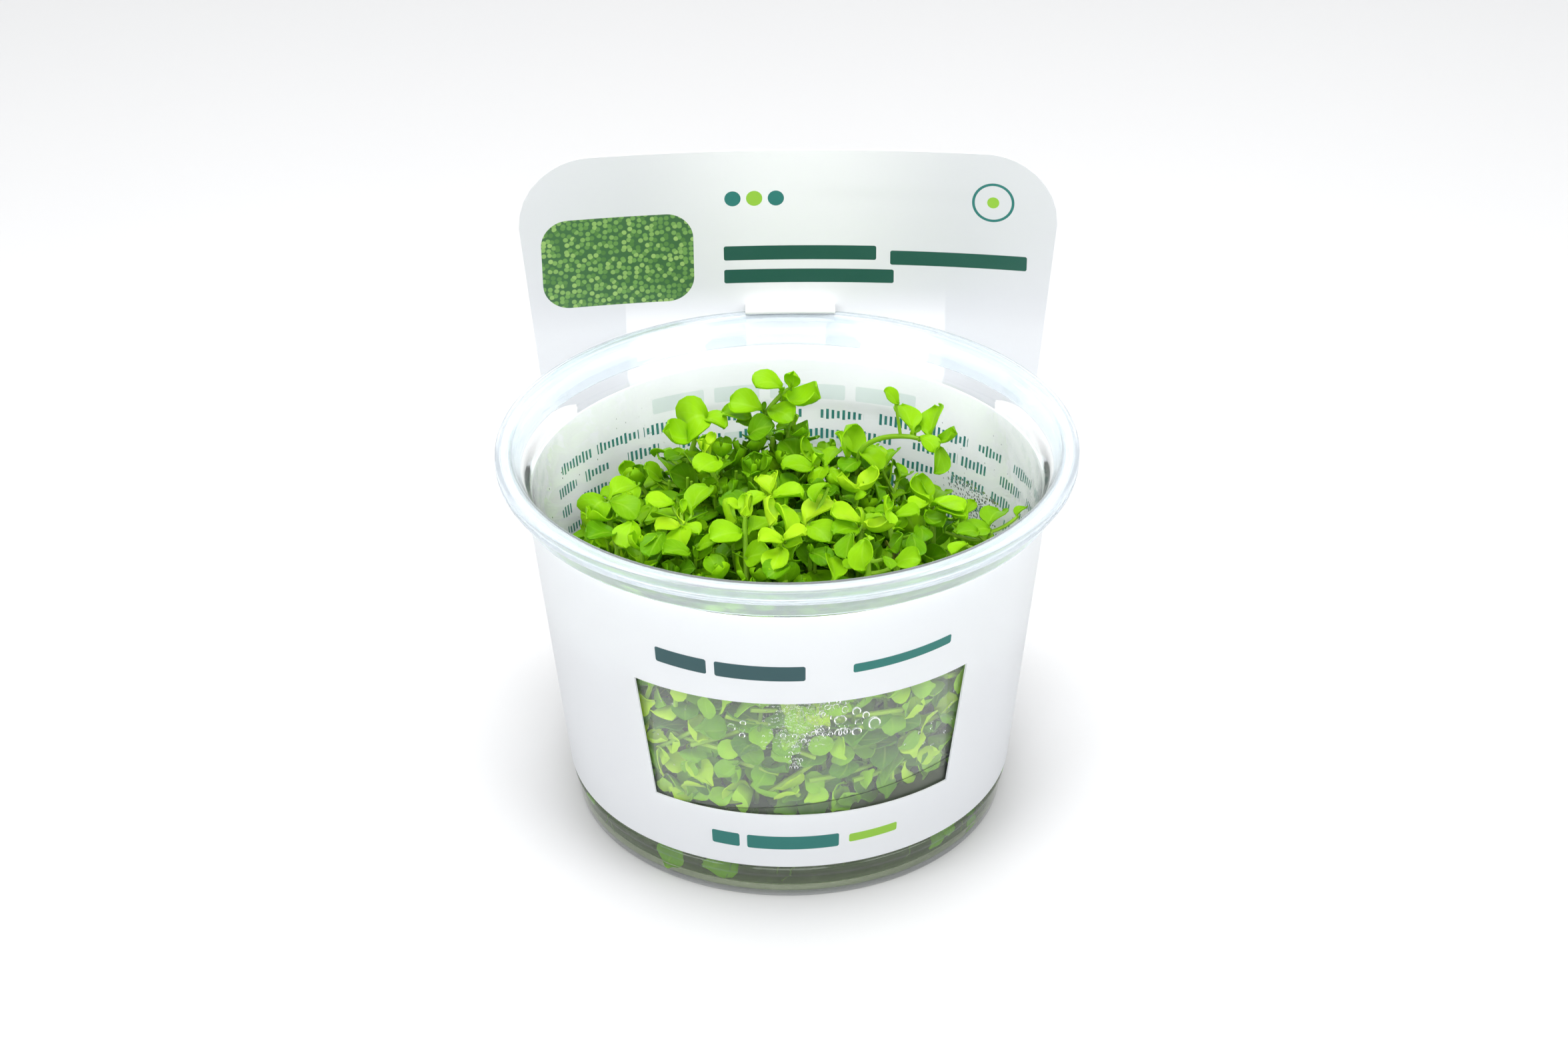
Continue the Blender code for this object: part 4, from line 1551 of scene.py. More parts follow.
        # painted shade and light: greyer towards the card's sides, whiter up its middle
        share = desk.stretch(desk.math("ABSOLUTE", desk.math("ADD", x, -2.0)), 2.0, 34.0, 1.0, 0.0)
        ground = desk.blend(share, inks.card_side_painted_shade, inks.card_middle)
        # painted reflection: a white field behind the cup, with the card grey outside it
        low = desk.blend(desk.stretch(off, 29.8, 30.2, 1.0, 0.0), inks.card_low, inks.card_painted_glare)
        return desk.blend(desk.stretch(z, 66.0, 75.0), low, ground)

    def card_front(self) -> bpy.types.Material:
        """Front of the card: a green flecked panel, plain dots, a ring and three bars.

        Returns:
            The material.
        """
        inks = self.sleeve.inks
        made, desk, shader = new_finish("card front")
        x, _, z = desk.parts(desk.millimetres())
        place = desk.joined(x, z)
        colour = self.card_ground(desk, x, z)
        for box in ((-11.4, 17.0, 79.7, 82.6), (19.6, 44.8, 78.8, 81.7), (-11.4, 20.3, 75.0, 77.8)):
            colour = desk.blend(self.put_bar(desk, place, box), colour, inks.pine)
        colour = self.dots(desk, place, colour)
        colour = self.leafy_panel(desk, place, colour)
        self.surface(desk, shader, colour, 0.10)
        return made

    def dots(self, desk: NodeDesk, place: Socket, colour: Socket) -> Socket:
        """A row of three plain dots, and one in a ring near the card's other corner.

        Args:
            desk: the material's node desk.
            place: where on the card the shader is.
            colour: the colour so far.

        Returns:
            The colour with the dots.
        """
        inks = self.sleeve.inks
        ringed, level = 38.3, 92.2
        dots = (
            (-9.6, 1.5, inks.teal),
            (-5.6, 1.5, inks.lime),
            (-1.6, 1.5, inks.teal),
            (ringed, 1.1, inks.lime),
        )
        for x, radius, ink in dots:
            box = (x - radius, x + radius, level - radius, level + radius)
            colour = desk.blend(self.put_bar(desk, place, box, radius), colour, ink)
        sizes = {"Centre": (ringed, level, 0.0), "Half Size": (3.6, 3.6, 0.0), "Corner": 3.6, "Line": 0.5}
        ring = desk.group(self.bar, {"Place": place, **sizes})
        return desk.blend(ring.outputs["Outline"], colour, inks.teal)

    def leafy_panel(self, desk: NodeDesk, place: Socket, colour: Socket) -> Socket:
        """A panel with round corners, filled evenly with small green flecks.

        Args:
            desk: the material's node desk.
            place: where on the card the shader is.
            colour: the colour so far.

        Returns:
            The colour with the panel.
        """
        inputs = {"Vector": place, "Scale": 0.95, "Randomness": 0.8}
        cells = desk.add("TexVoronoi", inputs, voronoi_dimensions="2D")
        hue = desk.parts(cells.outputs["Color"])[0]
        fleck = desk.stretch(cells.outputs["Distance"], 0.34, 0.52, 1.0, 0.0)
        stops = [(0.0, (0.09, 0.23, 0.06)), (0.5, (0.19, 0.39, 0.10)), (1.0, (0.36, 0.57, 0.17))]
        greens = desk.ramp(hue, stops)
        pattern = desk.blend(fleck, (0.06, 0.16, 0.06), greens)
        return desk.blend(self.put_bar(desk, place, (-45.0, -17.0, 71.8, 89.6), 5.0), colour, pattern)

    def card_back(self) -> bpy.types.Material:
        """Back of the card: the same satin ground, with rows of strokes.

        Returns:
            The material.
        """
        inks = self.sleeve.inks
        made, desk, shader = new_finish("card back")
        x, _, z = desk.parts(desk.millimetres())
        mirrored = desk.joined(desk.math("MULTIPLY", x, -1.0), z)
        colour = self.card_ground(desk, x, z)
        colour = desk.blend(self.put_bar(desk, mirrored, (-38.0, -6.0, 92.2, 94.4)), colour, inks.pine)
        small = desk.group(self.strokes, {
            "Place": mirrored, "Left": -38.0, "Right": 38.0, "Bottom": 73.4, "Top": 89.9,
            "Row Pitch": 3.3, "Stroke Half Height": 0.6, "Word Pitch": 9.0,
        })
        colour = desk.blend(small.outputs[0], colour, inks.teal)
        self.surface(desk, shader, colour, 0.10)
        return made


# Leaves and stems


class LeafKind(Enum):
    """How a leaf is bent."""

    ROUND = "R"
    CUPPED = "C"
    DROOPING = "D"
    YOUNG = "Y"
    CURLED = "K"
    FLAT = "F"


@dataclass(frozen=True)
class LeafForm:
    """One kind of leaf in shares of its length and half width."""

    width: float = 1.0
    arch: float = 0.4
    cup: float = 0.10
    curl_deg: float = 0.0
    side_bend: float = 0.0


LEAF_FORMS = {
    LeafKind.ROUND: LeafForm(1.02, 0.44, 0.13, 12.0, 0.03),
    LeafKind.CUPPED: LeafForm(1.0, -0.28, 0.26, -24.0, -0.04),
    LeafKind.DROOPING: LeafForm(0.98, 0.50, 0.13, 62.0, 0.05),
    LeafKind.YOUNG: LeafForm(0.62, -0.20, 0.28, -20.0, 0.06),
    LeafKind.CURLED: LeafForm(0.86, 0.30, 0.10, 205.0, 0.04),
    LeafKind.FLAT: LeafForm(1.04, 0.24, 0.07, 8.0, -0.02),
}

LEAF_OUTLINE = (
    (0.0, 0.12), (0.10, 0.16), (0.20, 0.44), (0.33, 0.80), (0.50, 1.0),
    (0.66, 1.03), (0.80, 0.93), (0.91, 0.70), (0.975, 0.42), (1.0, 0.20),
)


@dataclass
class LeafMould:
    """Models a leaf as a thin closed blade, one long and one half width to each side."""

    kind: LeafKind
    columns: int
    rows: int
    thickness: float = 0.036

    def station(self, row: int) -> float:
        """Place of a row along the blade: rows gather where the outline turns."""
        share = row / self.rows
        return share if share < 0.5 else 0.5 + 0.5 * math.sin((share - 0.5) * math.pi)

    def half_width(self, share: float) -> float:
        """Half width of the blade at a place along it."""
        places, widths = zip(*LEAF_OUTLINE)
        return float(np.interp(share, places, widths)) * LEAF_FORMS[self.kind].width

    def build(self) -> Shape:
        """Shape a flat grid by hand: row by row to its outline, its sides up, and its length bent.

        Returns:
            The leaf's shape.
        """
        form = LEAF_FORMS[self.kind]
        deselect_all()
        bpy.ops.mesh.primitive_grid_add(
            x_subdivisions=self.columns, y_subdivisions=self.rows, size=1.0, location=(0.0, 0.5, 0.0)
        )
        blade = bpy.context.active_object
        bpy.ops.object.transform_apply(location=True, rotation=False, scale=False)
        row_of = {v.index: round(v.co.y * self.rows) for v in blade.data.vertices}
        side_of_vert = {v.index: round((v.co.x + 0.5) * self.columns) for v in blade.data.vertices}
        open_edit(blade)
        for row in range(self.rows + 1):
            share, width = self.station(row), self.half_width(self.station(row))
            choose(blade, lambda v, r=row: row_of[v.index] == r)
            bpy.ops.transform.translate(value=(0.0, share - row / self.rows, 0.0))
            bpy.ops.transform.resize(value=(2.0 * width, 1.0, 1.0), center_override=(0.0, share, 0.0))
            shift = (form.side_bend * share * share, 0.0, form.arch * share * (1.0 - share))
            bpy.ops.transform.translate(value=shift)
        for side in range(self.columns + 1):
            off = abs(2.0 * side / self.columns - 1.0)
            choose(blade, lambda v, s=side: side_of_vert[v.index] == s and row_of[v.index] > 0)
            bpy.ops.transform.translate(value=(0.0, 0.0, form.cup * off * off))
        self.curl(blade, row_of, form.curl_deg)
        close_edit()
        thicken(blade, self.thickness)
        return Shape.taken_from(blade)

    def curl(self, blade: bpy.types.Object, row_of: dict[int, int], total_deg: float) -> None:
        """Roll the outer part of the blade up or down, a little more at each row.

        Args:
            blade: the blade in edit mode.
            row_of: each vertex's row.
            total_deg: how far the tip ends up turned, downwards if above 0.
        """
        first = self.rows // 4
        for row in range(first, self.rows):
            middle = [v.co.copy() for v in bmesh.from_edit_mesh(blade.data).verts if row_of[v.index] == row]
            pivot = sum(middle, Vector()) / len(middle)
            choose(blade, lambda v, r=row: row_of[v.index] > r)
            turn = math.radians(total_deg / (self.rows - first))
            bpy.ops.transform.rotate(value=turn, orient_axis="X", center_override=tuple(pivot))


class LeafStock:
    """Every kind of leaf, modelled once, fine for the shoots and plainer for the low growth."""

    def __init__(self) -> None:
        """Model the kinds and the two stems."""
        self.fine = {kind: LeafMould(kind, 6, 10).build() for kind in LeafKind}
        self.plain = {kind: LeafMould(kind, 4, 6).build() for kind in LeafKind}
        self.stem = self.model_stem(8, 16)
        self.thin_stem = self.model_stem(6, 8)

    def model_stem(self, sides: int, lengths: int) -> Shape:
        """A stem one high and one in radius, cut into lengths so that it can be bent.

        Args:
            sides: how many sides it has.
            lengths: how many lengths it is cut into.

        Returns:
            The stem's shape.
        """
        deselect_all()
        bpy.ops.mesh.primitive_cylinder_add(vertices=sides, radius=1.0, depth=1.0, location=(0.0, 0.0, 0.5))
        stem = bpy.context.active_object
        bpy.ops.object.transform_apply(location=True, rotation=False, scale=False)
        open_edit(stem)
        for cut in range(1, lengths):
            bpy.ops.mesh.select_all(action="SELECT")
            bpy.ops.mesh.bisect(plane_co=(0.0, 0.0, cut / lengths), plane_no=(0.0, 0.0, 1.0))
        close_edit()
        return Shape.taken_from(stem)


def unit(vector: np.ndarray) -> np.ndarray:
    """A vector of length one."""
    return vector / np.linalg.norm(vector)


@dataclass
class LeafSeat:
    """Where a leaf sits and how it lies: its foot, its directions and its size in millimetres."""

    foot: np.ndarray
    ahead: np.ndarray
    above: np.ndarray
    length: float
    half_width: float
    pair: int = 2

    @property
    def across(self) -> np.ndarray:
        """The direction across the blade."""
        return np.cross(self.ahead, self.above)

    def samples(self, count: int = 5) -> np.ndarray:
        """Points spread over the blade, to test its room.

        Args:
            count: how many points there are each way.

        Returns:
            The points, one a row.
        """
        share, side = np.meshgrid(np.linspace(0.3, 1.0, count), np.linspace(-1.0, 1.0, count))
        share, side = share.ravel(), side.ravel() * self.half_width
        width = np.interp(share, *zip(*LEAF_OUTLINE))
        return (
            self.foot
            + self.length * (np.outer(share, self.ahead) + np.outer(0.3 * share * (1.0 - share), self.above))
            + np.outer(side * width, self.across)
        )

    def placed(self, shape: Shape, bend: float = 1.0) -> np.ndarray:
        """A shape's points where this leaf is, bent more or less than its kind and waved in its own way.

        Args:
            shape: the leaf's shape.
            bend: how much of its kind's bend it has.

        Returns:
            The points, one a row.
        """
        x, y, z = shape.points.T
        own = 2.3 * self.foot[0] + 1.7 * self.foot[1] + 3.1 * self.foot[2]
        wave = 0.06 * y * np.sin(2.6 * x + 4.6 * y + own) + 0.09 * y * x * math.sin(own * 1.7)
        return (
            self.foot
            + np.outer(x * self.half_width, self.across)
            + np.outer(y * self.length, self.ahead)
            + np.outer((z * bend + wave) * self.length, self.above)
        )


def along(path: np.ndarray, distance: float) -> tuple[np.ndarray, np.ndarray]:
    """Place and direction on a stem at a distance back from its tip.

    Args:
        path: points up the stem.
        distance: how far back from the tip, in millimetres.

    Returns:
        The place and the direction towards the tip.
    """
    steps = np.linalg.norm(np.diff(path, axis=0), axis=1)
    from_tip = np.concatenate([[0.0], np.cumsum(steps[::-1])])
    places = path[::-1]
    at, ahead, behind = (
        np.array([np.interp(max(distance + step, 0.0), from_tip, places[:, k]) for k in range(3)])
        for step in (0.0, -0.5, 0.5)
    )
    return at, unit(ahead - behind)


def side_of(direction: np.ndarray, degrees: float) -> np.ndarray:
    """A direction square to the stem, turned about it by an angle from the cup's own right.

    Args:
        direction: the stem's direction.
        degrees: the angle.

    Returns:
        The direction.
    """
    right = unit(np.cross(np.array((0.0, 1.0, 0.0)), direction))
    back = np.cross(direction, right)
    angle = math.radians(degrees)
    return math.cos(angle) * right + math.sin(angle) * back


def bow(foot: np.ndarray, bend: np.ndarray, tip: np.ndarray, count: int) -> np.ndarray:
    """Points on one smooth bow from a foot to a tip."""
    share = np.linspace(0.0, 1.0, count)[:, None]
    return (1 - share) ** 2 * foot + 2 * share * (1 - share) * bend + share**2 * tip


def eased(path: np.ndarray) -> np.ndarray:
    """A path with its corners cut twice and its ends kept.

    Args:
        path: the path's points.

    Returns:
        The smoother path's points.
    """
    for _ in range(2):
        near, far = 0.75 * path[:-1] + 0.25 * path[1:], 0.25 * path[:-1] + 0.75 * path[1:]
        middle = np.stack([near, far], axis=1).reshape(-1, 3)
        path = np.concatenate([path[:1], middle, path[-1:]])
    return path


def bent_tube(shape: Shape, path: np.ndarray, radii: np.ndarray) -> np.ndarray:
    """A stem's points laid along a path.

    Args:
        shape: the straight stem, one high and one in radius.
        path: points from foot to tip.
        radii: the stem's radius at each of them.

    Returns:
        The bent stem's points.
    """
    shares = np.linspace(0.0, 1.0, len(path))
    slopes = np.gradient(path, axis=0)
    place, lean = (
        np.stack([np.interp(shape.points[:, 2], shares, line[:, k]) for k in range(3)], axis=1)
        for line in (path, slopes)
    )
    lean /= np.linalg.norm(lean, axis=1)[:, None]
    one = np.cross(np.array((0.0, 1.0, 0.0)), lean)
    one /= np.maximum(np.linalg.norm(one, axis=1)[:, None], 1e-6)
    two = np.cross(lean, one)
    radius = np.interp(shape.points[:, 2], shares, radii)
    return place + (shape.points[:, :1] * one + shape.points[:, 1:2] * two) * radius[:, None]


@dataclass(frozen=True)
class PhotoView:
    """The camera that the photograph was taken with, in millimetres and in the photograph's pixels."""

    width: float = 2352.0
    height: float = 1568.0
    lens: float = 65.17
    sensor: float = 36.0
    place: Place = (-0.638, -430.567, 306.855)
    aim: Place = (-0.638, 0.0, 52.667)
    roll_deg: float = -0.5218

    @property
    def focal(self) -> float:
        """The lens in pixels."""
        return self.lens / self.sensor * self.width

    def axes(self) -> tuple[np.ndarray, np.ndarray, np.ndarray]:
        """The directions ahead, right and up of the picture.

        Returns:
            The three directions.
        """
        ahead = unit(np.array(self.aim) - np.array(self.place))
        level = unit(np.cross(ahead, (0.0, 0.0, 1.0)))
        upright = np.cross(level, ahead)
        roll = math.radians(self.roll_deg)
        right = math.cos(roll) * level + math.sin(roll) * upright
        return ahead, right, math.cos(roll) * upright - math.sin(roll) * level

    def sight_line(self, across: float, down: float) -> np.ndarray:
        """The direction of what is seen at a pixel."""
        ahead, right, up = self.axes()
        return unit(ahead + ((across - self.width / 2) * right + (self.height / 2 - down) * up) / self.focal)

    def point(self, across: float, down: float, depth: float) -> np.ndarray:
        """The point that is seen at a pixel, at a depth counted back from the cup's middle."""
        line = self.sight_line(across, down)
        return np.array(self.place) + line * ((depth - self.place[1]) / line[1])

    def path(self, pixels: Sequence[Place]) -> np.ndarray:
        """The points that are seen at pixels, each with its depth."""
        return np.array([self.point(*pixel) for pixel in pixels])


class SeenLeaf(NamedTuple):
    """A leaf as read off the photograph.

    Its foot and tip are pixels across and down, and its width is in pixels too. Its depth, counted back
    from the cup's middle, and its length are millimetres. It points away from the camera or towards it.
    Its kind says how it is bent, and its tone holds its age and, for leaves that lie in shade, painted shade.
    """

    foot_across: float
    foot_down: float
    tip_across: float
    tip_down: float
    width: float
    depth: float
    away: int
    length: float
    kind: str
    tone: float

    def seat(self, view: PhotoView) -> LeafSeat:
        """Where the leaf sits, so that its foot, tip and width are seen where they were read.

        Args:
            view: the photograph's camera.

        Returns:
            The leaf's seat.
        """
        foot = view.point(self.foot_across, self.foot_down, self.depth)
        line = view.sight_line(self.tip_across, self.tip_down)
        off = np.array(view.place) - foot
        nearest = -off @ line
        spare = self.length**2 - off @ off + nearest**2
        tip = np.array(view.place) + line * (nearest + self.away * math.sqrt(max(spare, 0.0)))
        ahead, sight = unit(tip - foot), unit(-off)
        length = float(np.linalg.norm(tip - foot))
        seen = self.width / view.focal * float(-off @ view.axes()[0])
        full = max(seen, (0.5 if self.kind == LeafKind.YOUNG.value else 0.84) * length)
        flat, turn = unit(np.cross(ahead, sight)), math.acos(min(seen / full, 1.0))
        options = []
        for side in (flat, -flat):
            for angle in (turn, -turn):
                across = math.cos(angle) * side + math.sin(angle) * np.cross(side, ahead)
                above = np.cross(across, ahead)
                options.append((above[2] + 0.35 * float(above @ sight < 0.0), tuple(above)))
        above = np.array(max(options)[1])
        return LeafSeat(foot, ahead, above, length, full / 2 / LEAF_FORMS[LeafKind(self.kind)].width)


# The leaves of the shoots that stand clear, by shoot, each a row of what a seen leaf holds
# Each row's last value, the tone, holds the leaf's age and, for leaves in shade, painted shade
SHOOT_LEAVES: dict[int, tuple[tuple, ...]] = {
    1: (
        (1188, 583, 1193, 555, 25, 20, -1, 3.7, "C", .80), (1187, 582, 1176, 567, 9, 20, 1, 2.3, "Y", .62),
        (1172, 589, 1136, 562, 13, 19.5, -1, 7, "D", .72),
        (1174, 600, 1231, 604, 30, 19.5, -1, 7.2, "C", .74),
        (1152, 618, 1190, 628, 28, 18, -1, 6.2, "R", .58),
        (1146, 619, 1093, 604, 31, 18.5, -1, 6.6, "R", .72),
        (1128, 630, 1084, 620, 26, 20, -1, 6, "R", .50), (1130, 645, 1105, 630, 12, 18, 1, 3.4, "R", .5),
        (1124, 655, 1158, 636, 34, 16, -1, 6, "R", .36), (1146, 618, 1144, 605, 7, 18, 1, 1.8, "Y", .3),
        (1188, 642, 1198, 626, 7, 18, 1, 2.4, "Y", .88), (1186, 648, 1213, 652, 20, 17, -1, 4.6, "C", .40),
        (1183, 645, 1163, 643, 17, 18, 1, 3.6, "R", .5),
    ),
    2: (
        (1050, 637, 1090, 624, 12, 18, -1, 5.8, "D", .74), (1058, 633, 1032, 603, 16, 18, -1, 9.6, "K", .72),
        (1046, 657, 991, 655, 38, 15, -1, 6.9, "C", .76), (1008, 690, 978, 668, 14, 20, 1, 5, "D", .50),
        (1022, 685, 1000, 690, 16, 17, -1, 4, "R", .36), (1020, 682, 1056, 702, 13, 15, -1, 5.2, "R", .62),
        (1045, 738, 1006, 706, 36, 14, -1, 6.4, "R", .33), (1004, 712, 990, 684, 21, 17, 1, 5, "R", .46),
        (990, 722, 966, 702, 23, 17, -1, 5, "R", .52), (1002, 746, 984, 716, 25, 14, 1, 5.4, "R", .60),
    ),
    3: (
        (1058, 677, 1042, 661, 12, 10, -1, 3.6, "Y", 1), (1060, 676, 1073, 655, 13, 10, 1, 3.8, "Y", 1),
        (1058, 694, 1051, 666, 7, 9.5, -1, 3.8, "Y", 1), (1078, 693, 1048, 708, 34, 8.5, -1, 6.3, "R", .76),
        (1076, 716, 1098, 690, 20, 9, 1, 5.2, "R", .38),
    ),
    4: (
        (1368, 652, 1349, 606, 33, 8.5, 1, 6.5, "R", .74), (1346, 608, 1326, 586, 19, 9.5, -1, 4, "R", .70),
        (1398, 660, 1408, 608, 27, 8, 1, 6.8, "R", .72), (1408, 661, 1439, 656, 23, 7.5, -1, 4.6, "C", .58),
        (1405, 668, 1406, 710, 25, 6.5, -1, 5.6, "R", .54), (1378, 656, 1405, 676, 19, 7, -1, 4.4, "R", .70),
        (1371, 652, 1379, 640, 9, 8, 1, 2, "Y", .35), (1288, 683, 1326, 694, 20, 12, -1, 5.8, "D", .78),
        (1324, 700, 1318, 668, 18, 13.5, 1, 4.6, "R", .88),
        (1330, 702, 1343, 674, 25, 12.5, 1, 5.2, "R", .58),
    ),
    5: (
        (1240, 704, 1257, 671, 28, 10, 1, 5.6, "R", .74), (1238, 702, 1227, 728, 23, 9, -1, 5.2, "R", .76),
        (1241, 704, 1258, 722, 15, 9, -1, 4.4, "R", .70), (1214, 702, 1196, 663, 17, 11, 1, 5.6, "Y", .80),
        (1222, 702, 1219, 678, 16, 11, -1, 3.6, "C", .82), (1236, 700, 1220, 669, 21, 11, 1, 5, "R", .60),
        (1288, 692, 1262, 644, 27, 13, 1, 6.6, "C", .78), (1268, 692, 1256, 649, 17, 12, -1, 5.8, "R", .70),
        (1288, 694, 1265, 708, 22, 11, -1, 5, "R", .33), (1220, 706, 1175, 701, 27, 9, -1, 6.4, "R", .64),
    ),
    6: (
        (914, 750, 955, 723, 31, -3, 1, 6.4, "R", .72), (913, 754, 957, 774, 30, -4, -1, 6.2, "R", .50),
        (906, 758, 884, 746, 11, -3.5, -1, 7.2, "K", .56), (922, 774, 879, 784, 24, -5, -1, 6.2, "C", .68),
        (945, 790, 925, 779, 10, -6, -1, 3, "R", .80), (950, 783, 940, 823, 37, -8, -1, 6, "R", .78),
        (963, 790, 976, 762, 19, -4, 1, 4.6, "R", .66), (927, 806, 880, 803, 20, -10, -1, 6.2, "R", .28),
        (996, 800, 974, 836, 34, -12, -1, 5.8, "R", .34),
    ),
    7: (
        (1038, 773, 1061, 727, 35, -6, 1, 6.6, "R", .64), (1012, 760, 970, 756, 17, -5, -1, 5.8, "R", .84),
        (1024, 792, 1021, 767, 21, -8, 1, 3.9, "C", .97), (1022, 793, 984, 792, 15, -8.5, -1, 5, "R", .95),
        (1024, 793, 1021, 822, 35, -9, -1, 5.6, "R", .84), (1022, 772, 1020, 753, 10, -7, 1, 3, "Y", .82),
        (1020, 786, 979, 771, 19, -7.5, 1, 5.8, "R", .64), (1028, 787, 1057, 768, 21, -7.5, 1, 4.8, "R", .45),
        (1026, 791, 1049, 800, 14, -9, -1, 3.6, "R", .80), (1035, 834, 996, 826, 23, -16, -1, 5.6, "R", .46),
        (1048, 827, 1071, 811, 15, -13, -1, 4.4, "R", .60),
    ),
    8: (
        (1158, 749, 1136, 715, 24, -1.5, 1, 5, "R", 1), (1157, 749, 1164, 708, 22, -1.5, 1, 5.3, "R", 1),
        (1157, 750, 1204, 741, 21, -2, -1, 6.4, "R", .82),
        (1149, 748, 1121, 748, 13, -2.5, -1, 4.4, "D", .82),
        (1158, 752, 1160, 770, 25, -3, -1, 4.4, "R", .93), (1150, 760, 1128, 728, 24, 0, 1, 6.2, "R", .40),
        (1170, 735, 1200, 722, 26, 3, 1, 5.6, "R", .30),
    ),
    9: (
        (1117, 778, 1115, 743, 10, -12, 1, 4.7, "Y", .90), (1119, 778, 1127, 745, 10, -12, 1, 4.7, "Y", .90),
        (1114, 803, 1065, 806, 38, -13, -1, 6.6, "R", .76), (1121, 802, 1159, 782, 31, -13, 1, 6, "R", .66),
        (1121, 840, 1151, 828, 37, -15, -1, 5.8, "R", .62), (1119, 843, 1102, 831, 11, -15, 1, 3.4, "R", .60),
        (1107, 863, 1101, 831, 10, -16, 1, 4.4, "Y", .75), (1110, 762, 1091, 756, 14, -9, -1, 3.2, "R", .90),
        (1096, 792, 1081, 752, 9, -11, 1, 5.4, "Y", .86),
    ),
    10: (
        (1175, 815, 1139, 808, 21, -19, -1, 5.2, "R", .93), (1178, 818, 1201, 810, 17, -19, -1, 4, "R", .90),
        (1176, 813, 1170, 756, 17, -18, 1, 7.2, "R", .88), (1176, 812, 1208, 800, 19, -19, -1, 5.2, "R", 1),
        (1176, 824, 1160, 857, 33, -20, -1, 5.8, "R", .88), (1156, 790, 1141, 751, 9, -17, 1, 5.6, "Y", 1),
        (1190, 846, 1192, 820, 13, -19, 1, 3.6, "R", .42), (1186, 850, 1150, 866, 26, -23, -1, 5.6, "R", .34),
    ),
    11: (
        (1207, 791, 1248, 748, 35, -9, 1, 7.4, "R", 1), (1208, 793, 1192, 770, 19, -9, 1, 4.2, "R", .78),
        (1212, 791, 1245, 808, 33, -10, -1, 6, "R", .72), (1246, 731, 1211, 741, 9, -4, -1, 4.8, "D", .66),
        (1210, 792, 1217, 812, 9, -10, -1, 3.2, "Y", .80), (1215, 830, 1245, 846, 26, -15, -1, 5.2, "R", .30),
    ),
    12: (
        (1290, 789, 1246, 768, 23, -10, -1, 6.4, "R", .93),
        (1288, 796, 1251, 799, 29, -12, -1, 5.6, "R", .50),
        (1296, 791, 1343, 799, 17, -11, -1, 6.2, "C", .97), (1295, 796, 1296, 764, 9, -10, 1, 4.4, "Y", .88),
        (1296, 786, 1329, 776, 14, -9, 1, 4.8, "R", .72), (1250, 829, 1282, 817, 13, -15, -1, 5, "D", .93),
        (1282, 800, 1268, 838, 24, -16, -1, 5.4, "R", .46),
    ),
    13: (
        (1286, 740, 1251, 723, 12, 1, -1, 5, "C", .95), (1288, 739, 1321, 714, 19, 1, 1, 5.5, "C", .97),
        (1282, 752, 1300, 741, 12, 0, -1, 2.6, "R", .75), (1315, 756, 1312, 721, 15, 4, 1, 4.6, "R", .33),
        (1281, 760, 1262, 744, 14, 0, 1, 3.6, "R", .30),
    ),
    14: (
        (1393, 758, 1367, 723, 23, .5, 1, 6, "C", .76), (1400, 759, 1414, 732, 35, 2, 1, 5.8, "R", .62),
        (1392, 752, 1383, 725, 15, 2.5, 1, 4.4, "R", .62), (1392, 759, 1365, 760, 11, -1, -1, 4.4, "R", .84),
        (1396, 759, 1447, 764, 18, -1, -1, 6.8, "R", .80), (1432, 781, 1453, 756, 7, -2, 1, 4.4, "Y", .60),
        (1400, 768, 1450, 776, 12, -3, -1, 6.4, "R", .66), (1386, 768, 1410, 797, 25, -3, -1, 5, "C", .42),
        (1378, 790, 1384, 812, 22, -6, -1, 4.2, "R", .34),
    ),
    15: (
        (1335, 741, 1338, 693, 25, 12, 1, 6.6, "R", .60), (1347, 722, 1343, 693, 13, 13, 1, 4.6, "R", .66),
        (1345, 722, 1363, 707, 21, 13, 1, 4.2, "R", .58), (1325, 702, 1296, 703, 21, 12, -1, 4.8, "R", .30),
        (1340, 753, 1359, 737, 19, 9, 1, 4.2, "R", .58),
    ),
    16: (
        (1486, 796, 1447, 799, 30, -5, -1, 5.4, "R", .50), (1468, 801, 1437, 798, 24, -7, -1, 4.6, "R", .44),
        (1482, 795, 1500, 762, 34, -4, 1, 6, "R", .50), (1526, 777, 1538, 759, 10, -1, 1, 3.2, "R", .52),
        (1452, 818, 1427, 829, 15, -12, -1, 4.2, "R", .74), (1416, 800, 1430, 780, 24, -6, 1, 4.6, "R", .32),
    ),
    17: (
        (1300, 808, 1297, 855, 32, -23, -1, 6.4, "R", .70), (1248, 874, 1247, 834, 34, -24, 1, 5.8, "R", .70),
        (1342, 849, 1381, 838, 24, -21, -1, 5.6, "R", .64), (1322, 836, 1338, 853, 9, -22, -1, 3.4, "R", .50),
        (1286, 851, 1265, 850, 14, -24, -1, 3.2, "R", .72), (1281, 837, 1293, 853, 8, -24, -1, 3, "Y", .90),
        (1303, 812, 1301, 803, 9, -22, 1, 2, "R", .82),
    ),
    18: (
        (1350, 800, 1348, 833, 25, -14, -1, 5, "C", .38), (1330, 776, 1322, 747, 8, -12, 1, 4, "Y", .85),
        (1331, 772, 1341, 757, 8, -12, 1, 2.8, "Y", .85), (1332, 768, 1334, 785, 15, -13, -1, 3.2, "R", .82),
        (1343, 778, 1378, 770, 15, -11, -1, 5, "R", .66), (1340, 840, 1331, 815, 15, -18, 1, 4, "R", -.6),
        (1328, 771, 1310, 766, 13, -11, 1, 3.2, "R", .48), (1366, 800, 1372, 836, 24, -15, -1, 4.8, "R", .32),
    ),
}

